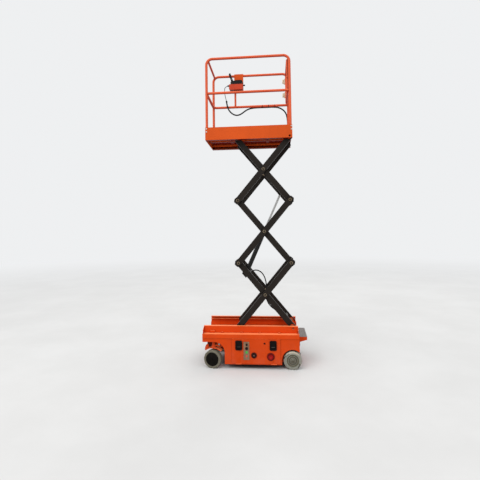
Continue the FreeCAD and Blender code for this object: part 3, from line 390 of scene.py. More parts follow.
def new_material(name):
    """A material's nodes and its shader, ready for its textures."""
    material = bpy.data.materials.new(name)
    material.use_nodes = True
    return Nodes(material.node_tree), material.node_tree.nodes["Principled BSDF"]


def toned(colour, factor, lift=0.0):
    """A colour made lighter or darker."""
    return tuple(factor * part + lift for part in colour)


def paint(name, colour, roughness, wear, grime, clean_height, bare_and_glint=RUST, darker=0.86, glare=0.08, top_highlight=None,
          shade=(0.24, 0.03, 0.1), less_lit_within=0, crevice=0.03):
    """Sprayed paint: slow tone changes, scratches, dust, painted shade in corners and on undersides, a painted
    highlight on tops, rubbed edges.

    The tops turn to the top highlight colour, and less within the given distance of the machine's centre line. The
    rubbed edges take the bare colour, which on some finishes is a painted highlight.
    """
    nodes, shader = new_material(name)
    skin = nodes.group("paint skin")
    edges = nodes.group("worn edges", Radius=0.0018, Amount=wear)
    dirt = nodes.group("road grime", Clean_height=clean_height, Amount=grime)["Mask"]
    marks = nodes.group("scratches", Amount=wear * 0.6)["Mask"]
    base = nodes.blended(skin["Tone"], toned(colour, darker), colour)
    base = nodes.blended(nodes.times(marks, 0.25), base, toned(colour, 0.7, 0.03))
    base = nodes.blended(dirt, base, DUST)
    # Painted shade: the colour darkens in corners and crevices within the crevice distance.
    open_air = nodes.put("ShaderNodeAmbientOcclusion", {"samples": 8}, Distance=crevice)["AO"]
    base = nodes.blended(nodes.eased(open_air, 0.4, 0.92, 0.8, 0.0), base, toned(colour, 0.2))
    lean = nodes.split(nodes.normal())["Z"]
    # Painted highlight: faces that look up turn towards the top highlight colour.
    if top_highlight:
        lit_tops = nodes.eased(lean, 0.5, 0.95)
        if less_lit_within:
            off_centre = nodes.reckon("ABSOLUTE", nodes.split(nodes.place())["Y"])
            lit_tops = nodes.times(lit_tops, nodes.eased(off_centre, less_lit_within - 0.01, less_lit_within + 0.01, 0.3, 1.0))
        base = nodes.blended(lit_tops, base, top_highlight)
    # Painted shade: faces that look down turn darker by the shade shares.
    underside_shade = tuple(share * part for share, part in zip(shade, colour))
    base = nodes.blended(nodes.eased(lean, -0.85, -0.35, 1.0, 0.0), base, underside_shade)
    # Rubbed edges take the bare colour, which on some finishes is a painted highlight.
    base = nodes.blended(edges["Mask"], base, bare_and_glint)
    rough = nodes.plus(roughness, nodes.times(skin["Tone"], 0.08))
    nodes.feed(shader, Base_Color=base, Specular_IOR_Level=glare,
               Roughness=nodes.plus(rough, nodes.times(dirt, 0.35), clamp=True),
               Normal=nodes.bumped(skin["Height"], 0.12, 0.0006, Normal=edges["Normal"]))


def metal(name, colour, second, roughness, brushed=EVERYWHERE, scale=60.0, ripple=0.1):
    """Bare or plated metal with fine streaks and cloudy tone."""
    nodes, shader = new_material(name)
    edges = nodes.group("worn edges", Radius=0.001, Amount=0.2)
    streaks = nodes.noise(scale, 3.0, 0.5, brushed)
    dirt = nodes.group("road grime", Clean_height=0.6, Amount=0.45)["Mask"]
    rough = nodes.plus(roughness, nodes.times(streaks, 0.16))
    nodes.feed(shader, Base_Color=nodes.blended(dirt, nodes.blended(nodes.clouds(22.0, 6.0, 0.3), colour, second), DUST),
               Roughness=nodes.plus(rough, nodes.times(dirt, 0.4), clamp=True),
               Metallic=nodes.minus(1.0, dirt, clamp=True),
               Normal=nodes.bumped(streaks, ripple, 0.0004, Normal=edges["Normal"]))


def moulded(name, dust, grain=900.0):
    """The start of a plastic: its nodes, shader, skin, rubbed edges and dust."""
    nodes, shader = new_material(name)
    skin = nodes.group("moulded grain", Scale=grain)
    edges = nodes.group("worn edges", Radius=0.0012, Amount=0.4)
    dirt = nodes.group("road grime", Clean_height=0.7, Amount=dust)["Mask"]
    nodes.feed(shader, Normal=nodes.bumped(skin["Height"], 0.2, 0.0003, Normal=edges["Normal"]))
    return nodes, shader, skin, edges, dirt


def plastic(name, colour, roughness, grain=900.0, dust=0.25):
    """Moulded plastic: fine grain, worn tone and settled dust."""
    nodes, shader, skin, edges, dirt = moulded(name, dust, grain)
    base = nodes.blended(skin["Tone"], colour, toned(colour, 1.3, 0.002))
    base = nodes.blended(dirt, base, DUST)
    base = nodes.blended(nodes.times(edges["Mask"], 0.5), base, toned(colour, 0.6, 0.12))
    nodes.feed(shader, Base_Color=base, Specular_IOR_Level=0.1,
               Roughness=nodes.plus(roughness, nodes.times(dirt, 0.4), clamp=True))


def from_side(nodes, x, z):
    """How far along and how far up a point lies from a place on the side, and its squared distance."""
    point = nodes.split(nodes.place())
    across, up = nodes.minus(point["X"], x), nodes.minus(point["Z"], z)
    return across, up, nodes.plus(nodes.times(across, across), nodes.times(up, up))


def moulded_discs(name, colour, discs, roughness, dust=0.05):
    """Moulded plastic whose colour changes inside circles: place, radius and colour of each."""
    nodes, shader, skin, _, dirt = moulded(name, dust)
    base = nodes.blended(0.0, colour, colour)
    for x, z, radius, tone in discs:
        square = from_side(nodes, x + MIDDLE, z)[2]
        base = nodes.blended(nodes.reckon("LESS_THAN", square, radius * radius), base, tone)
    base = nodes.blended(nodes.times(skin["Tone"], 2 * dust), base, (0.06, 0.045, 0.035))
    nodes.feed(shader, Base_Color=nodes.blended(dirt, base, DUST), Roughness=roughness, Specular_IOR_Level=0.09)


def gash(nodes, angle, radius, first, last, inner, outer, width):
    """A dark cut across a sidewall, from one angle and radius to another, in degrees and metres."""
    first, last = math.radians(first), math.radians(last)
    middle = nodes.plus(inner, nodes.times(nodes.eased(angle, first, last), outer - inner))
    away = nodes.reckon("ABSOLUTE", nodes.minus(radius, middle))
    between = nodes.times(nodes.reckon("GREATER_THAN", angle, first), nodes.reckon("LESS_THAN", angle, last))
    return nodes.times(nodes.eased(away, 0.3 * width, width, 1.0, 0.0), between)


def cut_rubber(name, colour):
    """Pale solid rubber of the rear wheels: a painted highlight over its upper part, greenish dirt and two dark cuts.
    """
    nodes, shader = new_material(name)
    skin = nodes.group("moulded grain", Scale=420.0)
    edges = nodes.group("worn edges", Radius=0.004, Amount=0.5, Breakup=22.0)
    across, up, square = from_side(nodes, REAR_WHEEL.x, REAR_WHEEL.z)
    angle = nodes.reckon("ARCTAN2", up, across)
    patches = nodes.noise(30.0, 7.0, 0.68)
    ragged = nodes.plus(nodes.reckon("POWER", square, 0.5), nodes.times(nodes.minus(patches, 0.5), 0.012))
    cuts = ((112, 170, 0.082, 0.109, 0.006), (-56, -22, 0.106, 0.091, 0.007))
    dark = nodes.reckon("MAXIMUM", *(gash(nodes, angle, ragged, *cut) for cut in cuts))
    base = nodes.blended(nodes.clouds(9.0), colour, toned(colour, 0.72))
    for mask, tone in (
        # Painted highlight: the rubber turns paler above the axle.
        (nodes.times(nodes.eased(up, 0.035, 0.1), 0.6), (0.58, 0.52, 0.4)),
        (nodes.times(nodes.eased(patches, 0.45, 0.65), 0.45), (0.14, 0.14, 0.1)),
        (dark, (0.035, 0.03, 0.02)),
        (edges["Mask"], (0.12, 0.11, 0.09)),
    ):
        base = nodes.blended(mask, base, tone)
    height = nodes.minus(nodes.plus(skin["Height"], patches), nodes.times(dark, 3.0))
    nodes.feed(shader, Base_Color=base, Roughness=0.8, Specular_IOR_Level=0.2,
               Normal=nodes.bumped(height, 0.3, 0.001, Normal=edges["Normal"]))


def tyre_rubber(name, colour):
    """Pale solid rubber of the front wheels: cloudy tone, dark smears and scuffed edges."""
    nodes, shader = new_material(name)
    skin = nodes.group("moulded grain", Scale=420.0)
    edges = nodes.group("worn edges", Radius=0.004, Amount=0.7, Breakup=18.0)
    patches = nodes.noise(13.0, 7.0, 0.68)
    clouds = nodes.clouds(7.0)
    base = nodes.blended(clouds, colour, toned(colour, 0.8))
    for mask in (nodes.eased(patches, 0.625, 0.685), edges["Mask"]):
        base = nodes.blended(mask, base, SCUFF)
    height = nodes.plus(skin["Height"], nodes.times(patches, 2.0))
    nodes.feed(shader, Base_Color=base, Specular_IOR_Level=0.2,
               Roughness=nodes.plus(0.72, nodes.times(clouds, 0.15)),
               Normal=nodes.bumped(height, 0.25, 0.0008, Normal=edges["Normal"]))


def sheath(name, colour, ribs, roughness):
    """A cord's cover, ringed along its length by its own UV map."""
    nodes, shader = new_material(name)
    along = nodes.split(nodes.put("ShaderNodeTexCoord")["UV"])["X"]
    rings = nodes.reckon("SINE", nodes.times(along, ribs * 2 * math.pi))
    tone = nodes.clouds(20.0)
    nodes.feed(shader, Base_Color=nodes.blended(tone, colour, toned(colour, 1.4, 0.004)), Specular_IOR_Level=0.12,
               Roughness=nodes.plus(roughness, nodes.times(tone, 0.12)), Normal=nodes.bumped(rings, 0.5, 0.0012))


# Settings


def colour_setting(name, description, default):
    """A colour that the user can change."""
    return FloatVectorProperty(name=name, description=description, subtype="COLOR", size=3,
                               default=default, min=0, max=1)


class LiftSettings(bpy.types.PropertyGroup):
    """Sizes and colours that a user would change."""

    chassis_orange: colour_setting("Chassis orange", "Paint of the chassis and doors", (0.6, 0.052, 0.003))
    cage_orange: colour_setting("Platform orange", "Paint of the platform", (0.62, 0.082, 0.01))
    arm_colour: colour_setting("Arm paint", "Paint of the scissor arms", (0.018, 0.0135, 0.0105))
    tyre_colour: colour_setting("Tyre rubber", "Colour of the solid tyres", (0.26, 0.25, 0.21))
    bolt_radius: FloatProperty(
        name="Bolt head radius", description="Corner radius of the hexagon bolt heads", unit="LENGTH",
        default=0.0065, min=0.003, max=0.02,
    )
    lug_pitch: FloatProperty(
        name="Tread pitch", description="Distance between the raised lugs of the tread plates", unit="LENGTH",
        default=0.03, min=0.015, max=0.08,
    )
    wheel_nuts: IntProperty(name="Hub screws", description="Screws round each hub", default=5, min=3, max=8)


# Stage and cords


class LIFT_OT_stage(bpy.types.Operator):
    """Makes the floor, the lamps and the camera at the photograph's angle"""

    bl_idname = "lift.stage"
    bl_label = "Stage"

    def execute(self, context):
        scene = context.scene
        camera = bpy.data.objects.new("camera", bpy.data.cameras.new("camera"))
        scene.collection.objects.link(camera)
        level = Matrix.Rotation(CAMERA_YAW, 4, "Z") @ Matrix.Rotation(math.pi / 2 + CAMERA_PITCH, 4, "X")
        camera.matrix_world = Matrix.Translation(CAMERA_PLACE) @ level @ Matrix.Rotation(CAMERA_ROLL, 4, "Z")
        camera.data.lens = LENS
        camera.data.sensor_width = SENSOR
        camera.data.shift_x, camera.data.shift_y = SHIFT_X, SHIFT_Y
        camera.data.clip_end = 400
        scene.camera = camera

        # Pale ground with contact shade under the machine, which turns into the haze far away
        nodes, shader = new_material("pale floor")
        worn = nodes.eased(nodes.noise(0.8, 8.0, 0.6), 0.3, 0.75)
        pale = nodes.blended(worn, (0.6, 0.59, 0.57), (0.64, 0.63, 0.61))
        spot = nodes.from_vectors("LENGTH", nodes.place((1 / 0.62, 1 / 0.36, 0)))
        pale = nodes.blended(nodes.eased(spot, 0.75, 1.05, 0.75, 0.0), pale, (0.05, 0.045, 0.04))
        away = nodes.eased(nodes.from_vectors("LENGTH", nodes.place()), 5.0, 22.0)
        nodes.feed(shader, Base_Color=nodes.blended(away, pale, (0, 0, 0)), Emission_Color=HAZE,
                   Emission_Strength=away, Roughness=0.9, Specular_IOR_Level=0.0,
                   Normal=nodes.bumped(nodes.noise(60.0, 6.0, 0.7), 0.2, 0.002))
        floor = added(bpy.ops.mesh.primitive_plane_add, size=260)
        floor.name = "floor"
        dressed(floor, "pale floor")

        for name, place, power in (("key lamp", (-4.0, -7.0, 9.0), 220), ("back lamp", (2.5, 6.0, 9.0), 150)):
            lamp = bpy.data.lights.new(name, "AREA")
            lamp.shape = "DISK"
            lamp.size = 5.0
            lamp.energy = power
            holder = bpy.data.objects.new(name, lamp)
            holder.matrix_world = facing(Vector(place) - Vector((0, 0, 1.6)), place)
            scene.collection.objects.link(holder)

        # A bright patch of sky lights the scene, and only the even haze is seen
        world = bpy.data.worlds.new("soft daylight")
        scene.world = world
        world.use_nodes = True
        nodes, light = Nodes(world.node_tree), world.node_tree.nodes["Background"]
        toward = nodes.put("ShaderNodeTexCoord")["Generated"]
        open_sky = nodes.from_vectors("DOT_PRODUCT", toward, (-0.15, -0.55, 0.82))
        dome = nodes.eased(nodes.split(toward)["Z"], 0.0, 0.95, 0.36, 0.8)
        glow = nodes.plus(dome, nodes.eased(open_sky, 0.3, 1.0, 0.0, 1.2))
        nodes.feed(light, Color=(0.95, 0.97, 1.0, 1), Strength=glow)
        seen = nodes.put("ShaderNodeBackground", Color=HAZE, Strength=1.0)[0]
        ray = nodes.put("ShaderNodeLightPath")
        mirrored = nodes.reckon("MAXIMUM", ray["Is Glossy Ray"], ray["Is Transmission Ray"])
        direct = nodes.reckon("MAXIMUM", ray["Is Camera Ray"], mirrored)
        mix = nodes.put("ShaderNodeMixShader", i0=direct, i1=light.outputs[0], i2=seen)[0]
        nodes.feed(world.node_tree.nodes["World Output"], Surface=mix)
        scene.view_settings.view_transform = "Standard"
        return {"FINISHED"}


# Routes from the chassis middle: along, out from the centre line, up
BOX_CABLE = (
    (-0.316, 0.246, 3.851), (-0.338, 0.246, 3.851), (-0.358, 0.247, 3.839), (-0.369, 0.250, 3.818),
    (-0.371, 0.254, 3.776), (-0.367, 0.259, 3.730), (-0.358, 0.264, 3.686), (-0.349, 0.266, 3.649),
    (-0.344, 0.266, 3.618),
)
RAIL_CABLE = (
    (-0.344, 0.266, 3.618), (-0.334, 0.266, 3.556), (-0.309, 0.267, 3.496), (-0.264, 0.268, 3.446),
    (-0.206, 0.270, 3.420), (-0.148, 0.276, 3.432), (-0.104, 0.288, 3.466), (-0.064, 0.308, 3.502),
    (-0.016, 0.325, 3.530), (0.050, 0.330, 3.542), (0.130, 0.330, 3.544), (0.226, 0.331, 3.543),
    (0.316, 0.330, 3.544), (0.388, 0.331, 3.540), (0.446, 0.331, 3.520), (0.496, 0.332, 3.482),
    (0.528, 0.332, 3.428), (0.540, 0.332, 3.362), (0.544, 0.332, 3.282), (0.543, 0.333, 3.194),
    (0.544, 0.332, 3.100), (0.544, 0.332, 2.990),
)
# Along the first inner arm, out from the centre line, below the arm's middle
HOSE = (
    (0.862, -0.052, -0.026), (0.862, -0.052, -0.062), (0.842, -0.058, -0.098), (0.804, -0.068, -0.126),
    (0.752, -0.080, -0.137), (0.691, -0.096, -0.126), (0.632, -0.116, -0.098), (0.584, -0.134, -0.060),
    (0.541, -0.146, -0.018), (0.498, -0.156, 0.018), (0.450, -0.161, 0.043), (0.396, -0.162, 0.054),
    (0.340, -0.161, 0.050), (0.286, -0.159, 0.034), (0.240, -0.157, 0.014), (0.206, -0.157, 0.014),
)


def cord_curve(name, points, radius, material):
    """A cord as one smooth curve that the route's points control."""
    curve = bpy.data.curves.new(name, "CURVE")
    curve.dimensions = "3D"
    curve.bevel_depth = radius
    curve.bevel_resolution = 5
    curve.resolution_u = 8
    curve.use_fill_caps = True
    spline = curve.splines.new("NURBS")
    spline.points.add(len(points) - 1)
    for control, point in zip(spline.points, points):
        control.co = (*point, 1)
    spline.order_u = 3
    spline.use_endpoint_u = True
    curve.materials.append(bpy.data.materials[material])
    piece = bpy.data.objects.new(name, curve)
    bpy.context.scene.collection.objects.link(piece)
    return piece


class LIFT_OT_cords(bpy.types.Operator):
    """Lays the control cable, its conduit and the hydraulic hose"""

    bl_idname = "lift.cords"
    bl_label = "Cords"

    def execute(self, context):
        sheath("grey cable", (0.06, 0.06, 0.06), 4, 0.5)
        sheath("black conduit", (0.006, 0.006, 0.006), 360, 0.5)
        sheath("black hose", (0.006, 0.006, 0.006), 160, 0.45)
        arm = inner_frame(1)
        cords = (
            ("control_cable", "box_cable", [on_chassis(*p) for p in BOX_CABLE], 0.009, 0.271, "grey cable",
             "cable_grey", "platform", "limp"),
            ("conduit", "rail_cable", [on_chassis(*p) for p in RAIL_CABLE], 0.020, 1.514, "black conduit",
             "cable_black", "platform", "limp"),
            ("pressure_hose", "hydraulic_hose", [arm @ Vector(p) for p in HOSE], 0.015, 0.796, "black hose",
             "cable_black", "inner_1", "medium"),
        )
        for name, node, points, diameter, length, material, slot, body, stiffness in cords:
            piece = cord_curve(name, points, diameter / 2, material)
            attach(piece, body)
            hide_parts(node)
        return {"FINISHED"}


# Finishes


class LIFT_OT_finishes(bpy.types.Operator):
    """Builds the finishes and gives each carried-over node its own"""

    bl_idname = "lift.finishes"
    bl_label = "Finishes"

    def execute(self, context):
        for build in (build_worn_edges, build_road_grime, build_paint_skin, build_scratches, build_grain):
            build()
        settings = context.scene.scissor_lift
        chassis, cage, tyre = settings.chassis_orange, settings.cage_orange, settings.tyre_colour
        paint("chassis paint", chassis, 0.45, 0.45, 0.12, 0.42, top_highlight=SUNLIT)
        # The knuckles' rubbed edges are light pink: a painted highlight along their edges.
        paint("knuckle paint", chassis, 0.4, 0.8, 0.2, 0.3, bare_and_glint=(0.85, 0.36, 0.24), top_highlight=SUNLIT)
        paint("cage paint", cage, 0.42, 0.35, 0.04, 0.4, top_highlight=SUNLIT)
        # Dark red primer for the arch guards: painted shade of the dark inside of the front arches.
        paint("primer", (0.12, 0.012, 0.006), 0.6, 0.4, 0.1, 0.4)
        # A lighter, pinker copy of the platform orange for the guardrail tubes, with lighter undersides: painted light
        # on the tubes.
        paint("rail paint", (0.7, 0.115, 0.045), 0.42, 0.35, 0.04, 0.4, top_highlight=(0.93, 0.3, 0.17),
              shade=(0.55, 0.3, 0.3))
        paint("tray paint", toned(chassis, 1.1), 0.45, 0.45, 0.1, 0.6, top_highlight=SUNLIT, less_lit_within=RAIL_INSIDE,
              crevice=0.01)
        # A darker copy of the chassis orange for the platform deck: painted shade under the platform.
        paint("deck paint", toned(chassis, 0.8), 0.5, 0.5, 0.3, 0.6)
        # The arms' tops and rubbed edges turn lighter: a painted highlight along them, with bare steel where the paint
        # is worn.
        paint("arm paint", settings.arm_colour, 0.42, 0.5, 0.05, 1.0, bare_and_glint=STEEL_GREY, darker=0.75, glare=0.12,
              top_highlight=(0.09, 0.085, 0.075))
        paint("box paint", (0.56, 0.062, 0.025), 0.4, 0.4, 0.06, 0.4)
        paint("hub black", (0.005, 0.004, 0.003), 0.55, 0.3, 0.02, 0.5, bare_and_glint=(0.06, 0.055, 0.05), glare=0.05)
        paint("black enamel", (0.008, 0.008, 0.008), 0.38, 0.4, 0.12, 0.6, bare_and_glint=STEEL_GREY, glare=0.25)
        metal("zinc plate", (0.4, 0.31, 0.2), (0.28, 0.21, 0.14), 0.4)
        metal("galvanised", (0.72, 0.7, 0.66), (0.6, 0.58, 0.54), 0.45)
        metal("hinge plate", (0.74, 0.64, 0.48), (0.62, 0.52, 0.38), 0.45)
        metal("dull steel", (0.05, 0.045, 0.04), (0.03, 0.027, 0.023), 0.5)
        metal("bright steel", (0.45, 0.45, 0.45), (0.32, 0.31, 0.3), 0.32, (0.1, 1, 1))
        metal("tread plate", (0.25, 0.22, 0.21), (0.18, 0.16, 0.15), 0.45)
        metal("silver plate", (0.36, 0.2, 0.12), (0.25, 0.15, 0.09), 0.4, (1, 1, 0.05), 160.0)
        metal("hard chrome", (0.5, 0.49, 0.48), (0.42, 0.42, 0.41), 0.2, (1, 1, 0.03), 120.0, 0.01)
        plastic("black plastic", (0.008, 0.008, 0.008), 0.5, dust=0.1)
        plastic("latch plastic", (0.004, 0.002, 0.0015), 0.6, 700.0, 0.0)
        plastic("worn plastic", (0.05, 0.045, 0.04), 0.55, 700.0, 0.2)
        plastic("nylon", (0.02, 0.02, 0.02), 0.45, 500.0)
        plastic("dark red plastic", (0.1, 0.012, 0.008), 0.4, 1200.0, 0.1)
        plastic("green plastic", (0.05, 0.36, 0.06), 0.4, 1200.0, 0.05)
        plastic("pale red plastic", (0.6, 0.08, 0.05), 0.4, 1200.0, 0.05)
        plastic("pale plastic", (0.45, 0.45, 0.43), 0.4, 1200.0, 0.2)
        key_tones = [(0.042, 0.173, 0.04, (0.03, 0.004, 0.003)), (0.042, 0.173, 0.0095, (0.12, 0.09, 0.075))]
        moulded_discs("switch plastic", (0.006, 0.006, 0.006), key_tones, 0.4)
        # The stop button: a red mushroom in a dark red ring, with a lighter red painted highlight in its middle.
        button_rings_and_highlight = [(0.252, 0.158, 0.0285, (0.31, 0.002, 0.003)), (0.252, 0.158, 0.011, (0.36, 0.012, 0.01))]
        moulded_discs("button plastic", (0.14, 0.002, 0.002), button_rings_and_highlight, 0.35)
        # Rings of the rear hub from the outside in: radius and colour; the dark and light rings are painted shade and
        # light of its grooves and rims
        hub_shading_rings = (
            (0.0765, (0.1, 0.092, 0.06)), (0.057, (0.25, 0.26, 0.22)), (0.0525, (0.07, 0.062, 0.04)),
            (0.037, (0.2, 0.2, 0.165)), (0.031, (0.1, 0.092, 0.065)), (0.0185, (0.22, 0.22, 0.18)),
            (0.0145, (0.09, 0.08, 0.055)),
        )
        hub_shading_tones = [(REAR_WHEEL.x - MIDDLE, REAR_WHEEL.z, radius, tone) for radius, tone in hub_shading_rings]
        moulded_discs("hub grey", (0.27, 0.28, 0.235), hub_shading_tones, 0.55, 0.12)
        tyre_rubber("front rubber", (0.64 * tyre[0], 0.6 * tyre[1], 0.52 * tyre[2]))
        cut_rubber("rear rubber", toned(tyre, 1.15))
        finishes = {
            "chassis paint": ["side_panels", "door_near", "door_far", "rear_step"],
            "knuckle paint": ["knuckle_near", "knuckle_far"],
            "tray paint": ["underframe", "deck_tray", "roller_rails", "base_pivot_lugs"],
            "cage paint": ["platform_frame", "control_bracket"],
            "rail paint": ["guardrail_near", "guardrail_far", "guardrail_front", "gate"],
            "deck paint": ["platform_deck"],
            "arm paint": ["inner_arms_1", "inner_arms_2", "inner_arms_3", "outer_arms_1", "outer_arms_2",
                          "outer_arms_3", "barrel_lugs", "rod_lugs"],
            "box paint": ["control_box"],
            "hub black": ["hub_front_near", "hub_front_far"],
            "hub grey": ["hub_rear_near", "hub_rear_far"],
            "black enamel": ["cylinder_barrel", "platform_pins"],
            "zinc plate": ["base_pivot_pins", "pivot_pins_1", "pivot_pins_2", "pivot_pins_3"],
            "hinge plate": ["gate_hinges"],
            "bright steel": ["rear_axle_stubs", "tie_rod", "hose_unions"],
            "tread plate": ["step_tread"],
            "silver plate": ["control_plate"],
            "hard chrome": ["cylinder_rod"],
            "black plastic": ["control_head", "power_packs", "cable_ties"],
            "switch plastic": ["ground_switches"],
            "latch plastic": ["door_near_latches", "door_far_latches"],
            "nylon": ["base_rollers", "top_rollers"],
            "button plastic": ["stop_button"],
            "front rubber": ["tyre_front_near", "tyre_front_far"],
            "rear rubber": ["tyre_rear_near", "tyre_rear_far"],
        }
        for name, nodes in finishes.items():
            for node in nodes:
                dressed(NODES[node], name)
        return {"FINISHED"}


# Patterns of small pieces, each standing on its own XY plane


def cylinder(around, radius, tall, foot=0.0):
    """A plain cylinder to be worked on."""
    return added(bpy.ops.mesh.primitive_cylinder_add, vertices=around, radius=radius, depth=tall,
                 location=(0, 0, foot + tall / 2))


def hex_bolt(radius, height, washer=1.45):
    """A hexagon head with a chamfered top on a washer."""
    ring = cylinder(24, radius * washer, height * 0.3)
    head = cylinder(6, radius, height * 0.85, height * 0.3)
    for piece, rim, sink in ((head, 0.12, 0.08), (ring, 0.06, 0.04)):
        reworked(piece, upward, bpy.ops.mesh.inset, thickness=radius * rim, depth=radius * sink)
    return merged("bolt", [head, ring])


def upper_half(piece, filled):
    """Cuts away what lies below the XY plane."""
    return reworked(piece, every, bpy.ops.mesh.bisect, plane_co=(0, 0, 0), plane_no=(0, 0, 1),
                    clear_inner=True, use_fill=filled)


def half_ring(radius, thickness, around=48):
    """A raised bead on a flat face."""
    ring = added(bpy.ops.mesh.primitive_torus_add, major_radius=radius, minor_radius=thickness,
                 major_segments=around, minor_segments=8)
    return upper_half(ring, False)


def tread_lug():
    """One raised lug of a tread plate: half of a long flat lens."""
    lug = added(bpy.ops.mesh.primitive_uv_sphere_add, segments=8, ring_count=4, radius=1)
    lug.scale = (0.011, 0.0035, 0.0012)
    return upper_half(settled(lug), True)


def soft_block(long, wide, tall, edge):
    """A block with rounded edges."""
    block = added(bpy.ops.mesh.primitive_cube_add, size=1, location=(0, 0, tall / 2))
    block.scale = (long, wide, tall)
    return reworked(settled(block), every, bpy.ops.mesh.bevel, "EDGE", offset=edge, segments=2)


def soft_disc(radius, tall, edge, around=24):
    """A disc with a rounded rim."""
    disc = cylinder(around, radius, tall)
    reworked(disc, upward, bpy.ops.mesh.inset, thickness=edge, depth=0)

    def on_rim(item):
        return all(v.co.z > 0.4 * tall and v.co.xy.length > radius - 0.5 * edge for v in item.verts)

    return reworked(disc, on_rim, bpy.ops.mesh.bevel, "EDGE", offset=0.6 * edge, segments=2)


def screw_head(radius):
    """A screw head with a rounded rim and a recess in its crown."""
    head = soft_disc(radius, radius * 0.55, radius * 0.3, 16)
    pick(head, lambda face: face.normal.z > 0.95 and face.calc_center_median().xy.length < radius * 0.2)
    bpy.ops.mesh.inset(thickness=radius * 0.25, depth=0)
    bpy.ops.mesh.extrude_region_shrink_fatten(TRANSFORM_OT_shrink_fatten={"value": -radius * 0.25})
    deselect()
    return head


def banded_sleeve(radius, length):
    """A crimped sleeve with two shallow grooves round it."""
    sleeve = cylinder(24, radius, length)
    reworked(sleeve, lambda face: abs(face.normal.z) < 0.5, bpy.ops.mesh.subdivide, number_cuts=5)
    band = length / 6
    return reworked(sleeve, lambda face: abs(face.normal.z) < 0.5 and int(face.calc_center_median().z / band) % 2 == 1,
                    bpy.ops.mesh.extrude_region_shrink_fatten, TRANSFORM_OT_shrink_fatten={"value": -0.0009})


def tread_places(x0, x1, half, z, pitch):
    """Places of lugs on a plate, each turned across its neighbours."""
    places = []
    columns, rows = int((x1 - x0) / pitch), int(2 * half / pitch)
    for column in range(columns):
        for row in range(rows):
            x = x0 + (column + 0.5) * (x1 - x0) / columns
            y = -half + (row + 0.5) * 2 * half / rows
            turn = math.radians(45 if (column + row) % 2 else -45)
            places.append(Matrix.Translation(on_chassis(x, y, z)) @ Matrix.Rotation(turn, 4, "Z"))
    return places


# Small pieces


class LIFT_OT_pin_bolts(bpy.types.Operator):
    """Puts a bolt and washer on the head of each pivot pin"""

    bl_idname = "lift.pin_bolts"
    bl_label = "Pin bolts"

    def execute(self, context):
        for stage, shares in {1: (0.5, 1), 2: (0, 0.5, 1), 3: (0, 0.5)}.items():
            arm = inner_frame(stage)
            spots = [facing((0, side, 0), arm @ Vector((share * ARM_LENGTH, side * PIN_END, 0)))
                     for share in shares for side in SIDES]
            fitted(f"pin_bolts_{stage}", hex_bolt(0.0115, 0.0075, 1.25), spots, f"inner_{stage}",
                   "dull steel", "zinc")
        return {"FINISHED"}


class LIFT_OT_platform_bolts(bpy.types.Operator):
    """Bolts the guardrail posts through the toe boards"""

    bl_idname = "lift.platform_bolts"
    bl_label = "Platform bolts"

    def execute(self, context):
        spots = [beside(side, x, TOE_BOARD, z) for x in (-0.546, 0.565) for z in (3.035, 3.075) for side in SIDES]
        bolt = hex_bolt(context.scene.scissor_lift.bolt_radius, 0.007)
        fitted("platform_bolts", bolt, spots, "platform", "galvanised", "zinc")
        return {"FINISHED"}


class LIFT_OT_treads(bpy.types.Operator):
    """Raises the lugs of the entry step and the platform floor"""

    bl_idname = "lift.treads"
    bl_label = "Tread lugs"

    def execute(self, context):
        pitch = context.scene.scissor_lift.lug_pitch
        fitted("step_lugs", tread_lug(), tread_places(0.617, 0.711, 0.218, STEP_TOP, pitch * 0.8), "chassis",
               "tread plate", "tread_plate")
        fitted("deck_lugs", tread_lug(), tread_places(-0.535, 0.545, 0.276, DECK, pitch), "platform",
               "deck paint", "tread_plate")
        return {"FINISHED"}


class LIFT_OT_wheel_trim(bpy.types.Operator):
    """Moulded rings on the sidewalls, cover screws and the rear hubs' nuts"""

    bl_idname = "lift.wheel_trim"
    bl_label = "Wheel trim"

    def execute(self, context):
        count = context.scene.scissor_lift.wheel_nuts
        sidewall = Matrix.Translation((0, 0, 0.0373))
        for body, wheel in wheels().items():
            end = "front" if "front" in body else "rear"
            rings = [wheel @ sidewall, wheel @ Matrix.Rotation(math.pi, 4, "X") @ sidewall]
            fitted(f"{body}_rings", half_ring(0.094, 0.0022, 64), rings, body, f"{end} rubber", "tyre_rubber")
            if end == "front":
                screw = Matrix.Translation((0.06, 0, 0.0407))
                spots = [wheel @ Matrix.Rotation(2 * math.pi * n / count, 4, "Z") @ screw for n in range(count)]
                fitted(f"{body}_screws", screw_head(0.0045), spots, body, "hub black", "hub_black")
            else:
                fitted(f"{body}_nut", hex_bolt(0.0095, 0.007, 1.3), [wheel @ Matrix.Translation((0, 0, 0.0498))],
                       body, "hub grey", "hub_grey")
        return {"FINISHED"}


